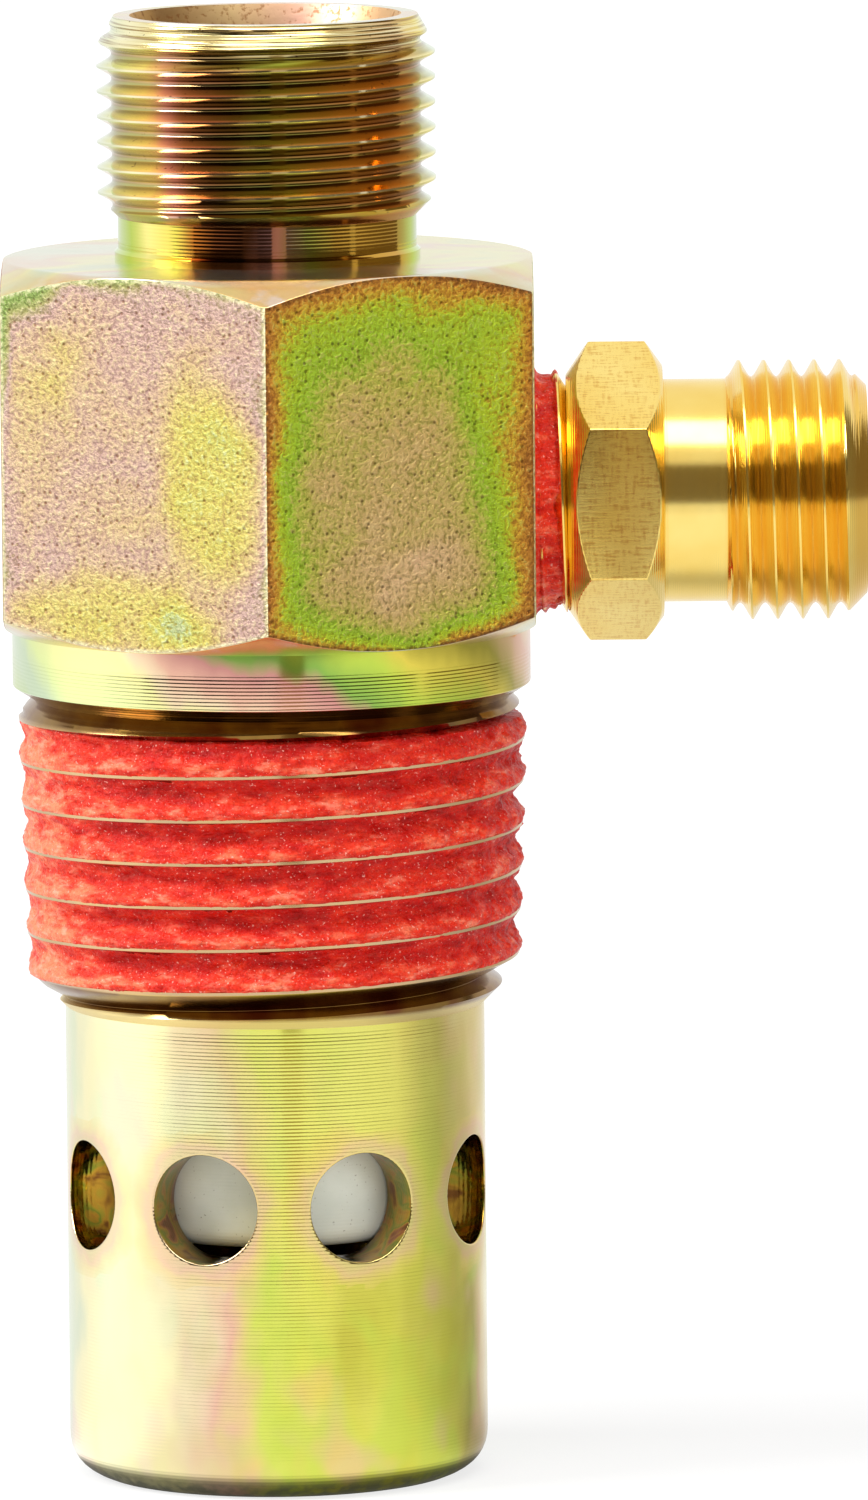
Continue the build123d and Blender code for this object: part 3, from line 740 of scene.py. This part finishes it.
# Soft spots of the film on a flat: flat, middle (across and up, 0 to 1), reach across and up, lean, and amount
FILM_SPOTS = [
    (0, 0.42, 0.34, 0.36, 0.4, 0.1, 0.12), (0, 0.54, 0.14, 0.3, 0.14, 0.0, 0.09), (0, 0.9, 0.55, 0.16, 0.4, 0.0, -0.04),
    (5, 0.05, 0.96, 0.16, 0.07, 0.0, -0.17), (5, 0.4, 1.0, 0.14, 0.03, 0.0, -0.13), (5, 0.0, 0.78, 0.04, 0.14, 0.0, -0.14),
    (5, 0.8, 0.46, 0.18, 0.27, -0.1, 0.2), (5, 0.42, 0.08, 0.4, 0.12, 0.0, 0.16), (5, 0.69, 0.04, 0.14, 0.08, 0.0, 0.09),
    (5, 0.14, 0.74, 0.2, 0.1, 0.4, 0.07), (5, 0.3, 0.5, 0.3, 0.2, 0.0, 0.03),
    (1, 0.3, 0.6, 0.3, 0.3, 0.3, 0.12), (2, 0.6, 0.3, 0.3, 0.3, 0.0, 0.08), (3, 0.6, 0.4, 0.25, 0.3, 0.3, 0.12),
    (4, 0.4, 0.6, 0.3, 0.3, 0.0, 0.08),
]


def make_valve_body():
    angles = corner_angles(math.radians(-90))
    reach = hex_reach(angles, HEX_FLAT, HEX_EDGE_ROUND, math.radians(-60))
    drop = np.maximum(reach - HEX_FACE_RADIUS, 0) * HEX_SLOPE

    bore = ring(
        angles, (FLOW_RADIUS, SEAT), (FLOW_RADIUS, SOCKET_FLOOR), (SOCKET_RADIUS, SOCKET_FLOOR),
        (SOCKET_RADIUS, MOUTH_FLOOR), (MOUTH_RADIUS, INLET_FACE), (RIM_RADIUS, INLET_FACE),
    )
    inlet_heights = helix_rows(angles, NECK_TOP, INLET_FACE, FINE_PITCH, inlet_start, FINE_ROWS)
    inlet = np.stack([inlet_radius(angles, inlet_heights), inlet_heights], axis=1)
    neck = ring(
        angles, (NECK_RADIUS, NECK_TOP), (NECK_RADIUS, HEX_TOP + NECK_FOOT_HEIGHT + NECK_FOOT_RADIUS - NECK_RADIUS),
        (NECK_FOOT_RADIUS, HEX_TOP + NECK_FOOT_HEIGHT), (NECK_FOOT_RADIUS, HEX_TOP),
    )
    top_face = ring(angles, (NECK_FOOT_RADIUS, HEX_TOP), (HEX_FACE_RADIUS - 0.3, HEX_TOP))
    shoulder = soften(ring(
        angles, (HEX_FACE_RADIUS - 0.3, HEX_TOP), (HEX_FACE_RADIUS, HEX_TOP), (reach, HEX_TOP - drop),
        (reach, HEX_TOP - drop - 0.3),
    ), EDGE_SOFTNESS)
    split = len(shoulder) - 3
    flats = ring(angles, (reach, HEX_TOP - drop - 0.3), (reach, HEX_BOTTOM + drop + 0.3))
    foot = soften(ring(
        angles, (reach, HEX_BOTTOM + drop + 0.3), (reach, HEX_BOTTOM + drop), (HEX_FACE_RADIUS, HEX_BOTTOM),
        (COLLAR_RADIUS, HEX_BOTTOM),
    ), EDGE_SOFTNESS)
    collar = soften(ring(
        angles, (COLLAR_RADIUS, HEX_BOTTOM), (COLLAR_RADIUS, NOTCH + COLLAR_CHAMFER), (NOTCH_RADIUS, NOTCH),
    ), FINE_SOFTNESS)
    tank_heights = helix_rows(angles, BOSS_END, NOTCH, TANK_PITCH, tank_start, COARSE_ROWS)
    tank = np.stack([tank_radius(angles, tank_heights), tank_heights], axis=1)
    spigot = ring(
        angles, (CAGE_RADIUS, BOSS_END), (SPIGOT_RADIUS, BOSS_END), (SPIGOT_RADIUS, SPIGOT_END),
        (SEAT_LIP_RADIUS, SPIGOT_END), (SEAT_LIP_RADIUS, SEAT), (FLOW_RADIUS, SEAT),
    )

    def edge_distance(columns, radii, heights):
        sector = math.radians(60)
        off_normal = (columns - math.radians(-60) + sector / 2) % sector - sector / 2
        side = HEX_FLAT * math.tan(sector / 2) - HEX_FLAT * np.abs(np.tan(off_normal))
        above = HEX_TOP - drop - heights
        below = heights - HEX_BOTTOM - drop
        return np.maximum(np.minimum(np.minimum(side, above), below), 0) + 0 * radii

    def film(columns, radii, heights):
        """Thickness of the coating on each flat: its own at the rim, growing inwards, with soft spots."""
        face = np.floor((columns - math.radians(-90)) / math.radians(60) + 1e-6).astype(int) % 6
        at_rim, growth, reach = np.array(FLAT_FILMS).T[:, face]
        level = at_rim + growth * (1 - np.exp(-edge_distance(columns, radii, heights) / reach))
        across = 0.5 + np.tan((columns - math.radians(-90)) % math.radians(60) - math.radians(30)) / 2 / math.tan(math.radians(30))
        above = (heights - HEX_BOTTOM) / (HEX_TOP - HEX_BOTTOM)
        for number, middle, up, wide, tall, lean, amount in FILM_SPOTS:
            off = ((across - middle - lean * (above - up)) / wide) ** 2 + ((above - up) / tall) ** 2
            level = level + amount * (face == number) * smooth_step(1.9, 0.1, off)
        side = np.where(face % 2 == 0, 0.505, 0)
        return np.clip(level, side, side + 0.49)

    def flank(columns, radii, heights):
        """Above 0 on flanks of the inlet thread that face down, below 0 on those that face up."""
        return np.where(heights > HEX_TOP, np.sin(TURN * (inlet_start - heights) / FINE_PITCH + columns), 0)

    bands = [
        (rows_of(bore[:5]), MOUTH), (rows_of(bore[4:]), BRIGHT), (inlet, THREAD), (rows_of(neck), NECK), (rows_of(top_face), BRIGHT),
        (rows_of(shoulder[:split]), BRIGHT), (rows_of(shoulder[split - 1:]), PITTED),
        (rows_of(flats, between=22), PITTED), (rows_of(foot[:4]), PITTED), (rows_of(foot[3:]), BRIGHT),
        (rows_of(collar[:5]), TURNED), (rows_of(collar[4:]), TANK), (tank, TANK), (rows_of(spigot), BRIGHT),
    ]
    values = {"edge_mm": edge_distance, "film": film, "flank": flank}
    return make_turned("valve_body_steel", angles, bands, body_finishes, values=values)


valve_body = make_valve_body()
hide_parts("valve_body")
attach(valve_body, "housing")


# Cage: plain bands above and below, and a patch round each hole between them

def make_cage():
    sector = TURN / HOLE_COUNT
    per_side = 16
    columns = per_side * HOLE_COUNT
    first = FIRST_HOLE_ANGLE - sector / 2
    angles = first + TURN * np.arange(columns + 1) / columns
    low, high = HOLE_HEIGHT - HOLE_BAND, HOLE_HEIGHT + HOLE_BAND
    outer_below = rows_of(ring(angles, (CAGE_RADIUS, low), (CAGE_RADIUS, ROLL_HEIGHT)), between=3)
    share = np.linspace(0, 1, 9)[:, None]
    start = np.array([CAGE_RADIUS, ROLL_HEIGHT])
    end = np.array([ROLL_FOOT, 0.0])
    bend = np.array([CAGE_RADIUS, 0.45])
    roll = start * (1 - share) ** 2 + 2 * bend * share * (1 - share) + end * share**2
    inner_below = ring(
        angles, *roll[1:], (LIP_RADIUS, 0), (LIP_RADIUS, DISC_BOTTOM), (CAGE_GROOVE, DISC_BOTTOM),
        (CAGE_GROOVE, DISC_TOP), (CAGE_BORE, DISC_TOP), (CAGE_BORE, low),
    )
    lower = np.concatenate([outer_below, rows_of(inner_below)])
    upper = rows_of(ring(
        angles, (CAGE_BORE, high), (CAGE_BORE, CAGE_LEDGE), (CAGE_SOCKET, CAGE_LEDGE), (CAGE_SOCKET, BOSS_END),
        (CAGE_RADIUS, BOSS_END), (CAGE_RADIUS, high),
    ))
    points, faces, slots, rims = [], [], [], []
    count = 0
    for band in (lower, upper):
        points.append(upright(angles, band[:, 0], band[:, 1]).reshape(-1, 3))
        faces.append(grid_faces(len(band), columns + 1, count))
        outside = np.minimum(band[:-1, 0], band[1:, 0]).mean(axis=1) > ROLL_FOOT - 0.2
        slots.append(np.repeat(np.where(outside, 0, 1), columns))
        rims.append(np.full(len(points[-1]), 9.0))
        count += len(points[-1])

    # the patch's border, as (share of half a sector, share of half a band), once round
    run = np.linspace(-1, 1, per_side + 1)[:-1]
    one = np.ones(per_side)
    border = np.concatenate([
        np.stack([run, -one], 1), np.stack([one, run], 1), np.stack([-run, one], 1), np.stack([-one, -run], 1),
    ])
    border = np.concatenate([border, border[:1]])
    aim = np.arctan2(border[:, 1] * HOLE_BAND, border[:, 0] * CAGE_RADIUS * sector / 2)
    hole = np.stack([np.cos(aim), np.sin(aim)], 1)

    def patch_ring(radius, size, share):
        """Points from the hole's rim (share 0) to the border (share 1), on a cylinder of a radius."""
        rim_turn = np.arcsin(hole[:, 0] * size / radius)
        turn = rim_turn * (1 - share) + border[:, 0] * sector / 2 * share
        rise = hole[:, 1] * size * (1 - share) + border[:, 1] * HOLE_BAND * share
        off = np.hypot(turn * radius, rise) - HOLE_RADIUS
        return np.stack([np.broadcast_to(radius, turn.shape), turn, rise, off], 1)

    shares = [1, 0.8, 0.6, 0.4, 0.25, 0.12, 0.04]
    rows = [patch_ring(CAGE_RADIUS, HOLE_RADIUS + HOLE_EDGE, share) for share in shares]
    for step in range(4):
        tilt = math.pi / 2 * step / 3
        size = HOLE_RADIUS + HOLE_EDGE * (1 - math.sin(tilt))
        radius = CAGE_RADIUS - HOLE_EDGE * (1 - math.cos(tilt))
        rows.append(patch_ring(radius, size, 0))
    for share in (0.25, 0.5, 0.75):
        rows.append(patch_ring(CAGE_RADIUS + (CAGE_BORE - CAGE_RADIUS) * share, HOLE_RADIUS, 0))
    for step in range(3, -1, -1):
        tilt = math.pi / 2 * step / 3
        size = HOLE_RADIUS + HOLE_EDGE * (1 - math.sin(tilt))
        radius = CAGE_BORE + HOLE_EDGE * (1 - math.cos(tilt))
        rows.append(patch_ring(radius, size, 0))
    rows += [patch_ring(CAGE_BORE, HOLE_RADIUS + HOLE_EDGE, share) for share in (0.3, 0.6, 1)]
    patch = np.array(rows)
    for number in range(HOLE_COUNT):
        turn = patch[..., 1] + FIRST_HOLE_ANGLE + number * sector
        points.append(upright(turn, patch[..., 0], patch[..., 2] + HOLE_HEIGHT).reshape(-1, 3))
        faces.append(grid_faces(len(patch), len(border), count))
        slots.append(np.repeat(np.arange(len(patch) - 1) > len(shares) + 1, len(border) - 1).astype(int))
        rims.append(patch[..., 3].reshape(-1))
        count += len(points[-1])
    return make_piece(
        "outlet_cage_steel", np.concatenate(points), np.concatenate(faces), np.concatenate(slots), cage_steel,
        sharp=50, values={"rim_mm": np.concatenate(rims)},
    )


cage = make_cage()
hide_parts("outlet_cage")
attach(cage, "housing")


# Unloader fitting

outlet_start = OUTLET_TOP_CREST_DISTANCE - FINE_PITCH / 4
stub_start = STUB_TOP_CREST_DISTANCE - STUB_PITCH / 4


def stub_radius(angles, distances):
    share = from_crest(angles, distances, STUB_PITCH, stub_start)
    crest = STUB_CREST - (FITTING_HEX - distances) * TANK_TAPER
    return crest - fine_groove(share, STUB_PITCH, STUB_DEPTH)


def outlet_radius(angles, distances):
    share = from_crest(angles, distances, FINE_PITCH, outlet_start)
    thread = OUTLET_CREST - fine_groove(share, FINE_PITCH, OUTLET_DEPTH)
    lead = OUTLET_FACE_RADIUS + (OUTLET_FACE - distances)
    foot = SHANK_RADIUS + 2 * (distances - OUTLET_THREAD)
    return np.minimum(np.minimum(thread, lead), foot)


def make_fitting():
    angles = corner_angles(math.radians(-90))
    reach = hex_reach(angles, FITTING_FLAT, FITTING_EDGE_ROUND, math.radians(-60))
    corner = FITTING_FLAT / math.cos(math.radians(30))
    inner_slope = FITTING_INNER_CONE / (corner - STUB_CREST + 0.2)
    outer_slope = FITTING_OUTER_CONE / (corner - FITTING_OUTER_FACE)
    near = FITTING_HEX + np.maximum(reach - STUB_CREST + 0.2, 0) * inner_slope
    far = SHANK - np.maximum(reach - FITTING_OUTER_FACE, 0) * outer_slope
    line = ring(
        angles, (LINE_MOUTH_RADIUS, OUTLET_FACE), (LINE_SOCKET_RADIUS, LINE_MOUTH_FLOOR),
        (LINE_SOCKET_RADIUS, LINE_SOCKET_FLOOR), (LINE_FLOW_RADIUS, LINE_SOCKET_FLOOR), (LINE_FLOW_RADIUS, STUB_END),
    )
    stub_rows = helix_rows(angles, STUB_END, FITTING_HEX, STUB_PITCH, stub_start, FINE_ROWS)[::-1]
    stub = np.stack([stub_radius(angles, stub_rows), stub_rows], axis=1)
    hexagon = soften(ring(
        angles, (STUB_CREST - 0.9, FITTING_HEX), (STUB_CREST - 0.2, FITTING_HEX), (reach, near), (reach, far),
        (FITTING_OUTER_FACE, SHANK), (SHANK_RADIUS, SHANK),
    ), FINE_SOFTNESS)
    shank = ring(angles, (SHANK_RADIUS, SHANK), (SHANK_RADIUS, OUTLET_THREAD))
    outlet_rows = helix_rows(angles, OUTLET_THREAD, OUTLET_FACE, FINE_PITCH, outlet_start, FINE_ROWS)[::-1]
    outlet = np.stack([outlet_radius(angles, outlet_rows), outlet_rows], axis=1)
    bands = [
        (rows_of(line), 0), (stub, 0), (rows_of(hexagon[:9]), 0), (rows_of(hexagon[8:10]), 1),
        (rows_of(hexagon[9:]), 0), (rows_of(shank, between=2), 0), (outlet, 0),
    ]
    return make_turned("unloader_fitting_brass", angles, bands, brass, along_x)


fitting = make_fitting()
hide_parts("unloader_fitting")
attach(fitting, "housing")


# Sealant

def lumps(points, sizes, shift=0):
    """Cloudy numbers round 0 at each point, with lumps of a size in mm along each axis."""
    scaled = points / np.array(sizes) + shift
    return np.array([noise.noise(Vector(point)) for point in scaled.reshape(-1, 3)]).reshape(points.shape[:-1])


def make_tank_sealant():
    angles = np.linspace(0, TURN, 541)
    low, high = BOSS_END + 0.5, NOTCH - 0.35
    heights = helix_rows(angles, low, high, TANK_PITCH, tank_start, list(np.linspace(0, 1, 19)[:-1]))
    metal = tank_radius(angles, heights)
    crest = tank_crest(heights)
    below = ((tank_start - heights) / TANK_PITCH + angles / TURN) % 1
    spots = upright(angles, crest, heights)
    wander = 0.09 * lumps(spots, (5, 5, 3), 3)
    places = [0, 0.06, 0.14, 0.3, 0.42, 0.6, 0.76, 0.88, 0.95, 1]
    depths = [0.05, 0.07, 0.2, 0.38, 0.38, 0.2, 0.0, -0.04, 0.0, 0.05]
    depth = np.interp(np.clip(below + wander * np.sin(np.pi * below), 0, 1), places, depths)
    depth *= 1 + 0.8 * lumps(spots, (3.5, 3.5, 2.5), 11)
    body = np.sin(np.pi * np.clip(below, 0, 1)) ** 0.5
    depth += body * (0.16 * lumps(spots, (1.5, 1.5, 0.5), 5) + 0.12 * lumps(spots, (0.5, 0.5, 0.3), 17))
    depth += 0.09 * (0.3 + body) * lumps(spots, (0.24, 0.24, 0.2), 29)
    last = TANK_FRONT_CREST_HEIGHT + TANK_PITCH * ((angles - math.radians(270)) / TURN + smooth_step(2.3, 1.7, angles))
    hidden = 1 - smooth_step(last - 0.12, last + 0.02, heights)
    hidden = np.maximum(hidden, smooth_step(WASHOUT_LOW, WASHOUT_LOW + 0.15, heights))
    cone = NOTCH_RADIUS + (NOTCH - heights) - 0.1
    depth *= 1 - 0.4 * smooth_step(0.5, 1, -np.cos(angles))
    surface = np.minimum(crest - depth - TANK_DEPTH * 1.2 * hidden, cone)
    outer = np.maximum(surface, metal - 0.02 - 0.15 * hidden)
    inner = np.minimum(metal - 0.3, outer - 0.02)[::4]
    rows = np.concatenate([np.stack([outer, heights], 1), np.stack([inner, heights[::4]], 1)[::-1]])

    def place_in_groove(columns, radii, levels):
        return ((tank_start - levels) / TANK_PITCH + columns / TURN) % 1

    values = {"groove": place_in_groove}
    return make_turned("tank_thread_sealant_red", angles, [(rows, 0)], [red_sealant], sharp=80, values=values)


def make_unloader_sealant():
    angles = np.linspace(0, TURN, 241)
    distances = np.linspace(HEX_FLAT - 0.35, FITTING_HEX + 0.02, 26)[:, None] + 0 * angles
    metal = stub_radius(angles, distances)
    spots = along_x(angles, 0 * distances + 4.9, distances)
    fill = 4.86 + 0.4 * np.exp(-np.abs(distances - HEX_FLAT) / 0.16) + 0.14 * lumps(spots, (0.8, 0.8, 0.8), 7)
    fill += 0.12 * lumps(spots, (0.35, 0.35, 0.35), 13)
    crest_cover = metal + 0.03 + 0.05 * lumps(spots, (0.5, 0.5, 0.5), 23)
    surface = np.maximum(fill, crest_cover)
    reach = HEX_FLAT + 0.98 + 0.35 * lumps(spots, (1.1, 1.1, 1.1), 31)
    hidden = smooth_step(reach, reach + 0.12, distances)
    outer = np.maximum(surface - 0.9 * hidden, metal - 0.02)
    inner = np.minimum(metal - 0.05, outer - 0.02)
    rows = np.concatenate([np.stack([outer, distances], 1), np.stack([inner, distances], 1)[::-1]])
    values = {"groove": lambda columns, radii, levels: 0.7 + 0 * radii}
    return make_turned("unloader_thread_sealant_red", angles, [(rows, 0)], [red_sealant], along_x, 80, values)


tank_sealant = make_tank_sealant()
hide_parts("tank_thread_sealant")
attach(tank_sealant, "housing")

unloader_sealant = make_unloader_sealant()
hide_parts("unloader_thread_sealant")
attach(unloader_sealant, "housing")


# Return spring

def make_spring():
    turns = np.linspace(0, SPRING_OPEN_TURNS + 2, 331)
    rise = SPRING_HIGH - SPRING_LOW - 2 * SPRING_CLOSED_PITCH
    middle = np.clip((turns - 1) / SPRING_OPEN_TURNS, 0, 1) * rise
    ends = (np.clip(turns, 0, 1) + np.clip(turns - 1 - SPRING_OPEN_TURNS, 0, 1)) * SPRING_CLOSED_PITCH
    heights = SPRING_LOW + middle + ends
    around = turns * TURN
    across = np.linspace(0, TURN, 13)
    radii = SPRING_RADIUS + WIRE_RADIUS * np.cos(across)
    points = np.stack([
        radii[None, :] * np.cos(around)[:, None], radii[None, :] * np.sin(around)[:, None],
        heights[:, None] + WIRE_RADIUS * np.sin(across)[None, :],
    ], axis=-1)
    tips = points[[0, -1]].mean(axis=1, keepdims=True) + 0 * points[[0, -1]]
    points = np.concatenate([tips[:1], points, tips[1:]])
    faces = grid_faces(len(points), len(across))
    return make_piece("return_spring_wire", points.reshape(-1, 3), faces, 0, [spring_steel], sharp=60)


spring = make_spring()
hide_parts("return_spring")
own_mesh(spring)
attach(spring, "housing")


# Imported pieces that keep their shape

for node, finish in (("piston", white_ptfe), ("end_disc", disc_steel)):
    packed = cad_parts[node]
    packed.data.materials.clear()
    packed.data.materials.append(finish)


# Camera

CAMERA_PITCH = math.radians(7)
CAMERA_ROLL = math.radians(0.5)
CAMERA_AIM = Vector((6.8, 0, 30.53)) * MM
CAMERA_DISTANCE = 688.3 * MM
LENS = 392.4

forward = Vector((0, math.cos(CAMERA_PITCH), -math.sin(CAMERA_PITCH)))
level_up = Vector((0, math.sin(CAMERA_PITCH), math.cos(CAMERA_PITCH)))
level_right = Vector((1, 0, 0))
right = level_right * math.cos(CAMERA_ROLL) - level_up * math.sin(CAMERA_ROLL)
up = level_up * math.cos(CAMERA_ROLL) + level_right * math.sin(CAMERA_ROLL)
camera = bpy.data.objects.new("camera", bpy.data.cameras.new("camera"))
camera.data.sensor_width = 36
camera.data.lens = LENS
camera.data.clip_start = 0.01
camera.data.clip_end = 20
camera.matrix_world = Matrix.Translation(CAMERA_AIM - forward * CAMERA_DISTANCE) @ Matrix(
    (right, up, -forward)
).transposed().to_4x4()
bpy.context.scene.collection.objects.link(camera)
bpy.context.scene.camera = camera


# Studio: white surroundings, a pale floor, soft panels, and the dark room in front

FLOOR_SIZE = 4.0
FLOOR_SHEET_FRONT = 285


def make_plane(name, corners, material, first_hidden=False):
    mesh = bpy.data.meshes.new(name)
    mesh.from_pydata([tuple(Vector(corner) * MM) for corner in corners], [], [(0, 1, 2, 3)])
    mesh.materials.append(material)
    plane = bpy.data.objects.new(name, mesh)
    bpy.context.scene.collection.objects.link(plane)
    if first_hidden:
        plane.visible_camera = False
        plane.visible_diffuse = False
        plane.visible_shadow = False
    return plane


def seen_directly(add):
    """1 for camera, glossy and transmission rays, else 0."""
    path = add("ShaderNodeLightPath")
    first = add("ShaderNodeMath", {0: path.outputs["Is Camera Ray"], 1: path.outputs["Is Glossy Ray"]}, operation="MAXIMUM")
    return add(
        "ShaderNodeMath", {0: first.outputs[0], 1: path.outputs["Is Transmission Ray"]}, operation="MAXIMUM"
    ).outputs[0]


# Brightness of the floor sheet in reflections, by bearing: the back at 0, the left at 0.25, the front at 0.5
FLOOR_LEVELS = [
    (0.0, 0.9), (0.13, 0.85), (0.17, 0.9), (0.22, 1.1), (0.31, 1.1), (0.36, 0.9), (0.45, 0.95), (0.53, 0.95),
    (0.6, 0.95), (0.68, 0.85), (0.74, 0.6), (0.8, 0.5), (0.85, 0.6), (0.9, 0.75), (1.0, 0.9),
]


def floor_finish():
    nodes = Nodes("studio_floor")
    shine = nodes.add("ShaderNodeLightPath").outputs["Is Glossy Ray"]
    room = nodes.range(nodes.y, -FLOOR_SHEET_FRONT, -FLOOR_SHEET_FRONT - 25, smooth=True)
    far = nodes.range(nodes.radius, 60, 350, smooth=True)
    around = nodes.math("ADD", 0.5, nodes.math("DIVIDE", nodes.math(
        "ARCTAN2", nodes.x, nodes.math("MULTIPLY", nodes.y, -1)), TURN))
    mirrored = nodes.ramp(around, [(share, (level, level, level, 1)) for share, level in FLOOR_LEVELS])
    mirrored = nodes.mix(room, mirrored, (0.03, 0.03, 0.03, 1))
    # A dark ring round the foot, seen only in reflections: painted contact shadow.
    mirrored = nodes.mix(nodes.range(nodes.radius, 9.9, 8.5, smooth=True), mirrored, (0.1, 0.1, 0.09, 1))
    seen = nodes.mix(far, (0.76, 0.76, 0.76, 1), (1, 1, 1, 1))
    camera_ray = nodes.add("ShaderNodeLightPath").outputs["Is Camera Ray"]
    colour_of_paper = nodes.mix(camera_ray, (0.72, 0.72, 0.72, 1), (0.24, 0.24, 0.24, 1))
    paper = nodes.add("ShaderNodeBsdfDiffuse", {"Color": nodes.mix(shine, colour_of_paper, (0.1, 0.1, 0.1, 1))})
    glow = {"Color": nodes.mix(shine, seen, mirrored), "Strength": seen_directly(nodes.add)}
    light = nodes.add("ShaderNodeEmission", glow)
    both = nodes.add("ShaderNodeAddShader", {0: paper.outputs[0], 1: light.outputs[0]})
    nodes.add("ShaderNodeOutputMaterial", {0: both.outputs[0]})
    return nodes.material


def card_finish(name, level):
    nodes = Nodes(name)
    tint = (1.25 * level, level, 0.65 * level, 1) if level < 0.5 else (level, level, level, 1)
    glow = nodes.add("ShaderNodeEmission", {"Color": tint, "Strength": 1})
    nodes.add("ShaderNodeOutputMaterial", {0: glow.outputs[0]})
    return nodes.material


half = FLOOR_SIZE / MM / 2
make_plane("floor", [(-half, -half, 0), (half, -half, 0), (half, half, 0), (-half, half, 0)], floor_finish())


def make_card(name, left, right_side, low, high, level, distance=500):
    """A flat card in front of the object between two bearings and two elevations, seen in reflections only."""
    corners = []
    for bearing_degrees, height_degrees in ((left, low), (right_side, low), (right_side, high), (left, high)):
        side = math.radians(bearing_degrees)
        rise = 45 + distance * math.tan(math.radians(height_degrees))
        corners.append((distance * math.sin(side), -distance * math.cos(side), max(rise, -60)))
    return make_plane(name, corners, card_finish(name + "_finish", level), True)


for name, left, right_side, low, high, level in (
    ("side_left", -76, -58, -1, 31, 0.6), ("left", -58, -18, -12, 31, 0.03), ("line", -18, -7, -12, 31, 0.12),
    ("middle", -7, 12, -12, 31, 0.05), ("right", 12, 67, -12, 31, 0.12), ("side_right", 72, 120, -12, 31, 0.16),
):
    make_card("dark_room_" + name, left, right_side, low, high, level)

make_plane(
    "fitting_card", [(9, -130, 1), (34, -130, 1), (34, -130, 215), (9, -130, 215)], card_finish("fitting_card", 0.36), True,
)

world = bpy.data.worlds.new("studio")
world.use_nodes = True
bpy.context.scene.world = world
world.node_tree.nodes.clear()


def add_to_world(kind, inputs=None, **settings):
    node = world.node_tree.nodes.new(kind)
    for key, value in settings.items():
        setattr(node, key, value)
    for key, value in (inputs or {}).items():
        if isinstance(value, bpy.types.NodeSocket):
            world.node_tree.links.new(value, node.inputs[key])
        else:
            node.inputs[key].default_value = value
    return node


FILL = 0.4
level = add_to_world("ShaderNodeMapRange", {0: seen_directly(add_to_world), 3: FILL, 4: 1.0})
sky = add_to_world("ShaderNodeBackground", {"Color": (1, 1, 1, 1), "Strength": level.outputs[0]})
add_to_world("ShaderNodeOutputWorld", {0: sky.outputs[0]})


def make_panel(name, place, aim, size, power, mirrored):
    lamp = bpy.data.lights.new(name, "AREA")
    lamp.shape = "RECTANGLE"
    lamp.size, lamp.size_y = size[0] * MM, size[1] * MM
    lamp.energy = power
    panel = bpy.data.objects.new(name, lamp)
    panel.location = Vector(place) * MM
    way = (Vector(aim) - Vector(place)).normalized()
    panel.rotation_euler = way.to_track_quat("-Z", "Y").to_euler()
    panel.visible_glossy = mirrored
    bpy.context.scene.collection.objects.link(panel)
    return panel


make_panel("panel_left", (-320, -80, 280), (0, 0, 40), (220, 220), 1.8, True)
make_panel("panel_top", (20, -120, 350), (8, 0, 40), (300, 160), 0.66, True)
make_panel("panel_right", (200, -280, 110), (0, 0, 32), (220, 180), 0.42, False)

scene = bpy.context.scene
scene.view_settings.view_transform = "Standard"
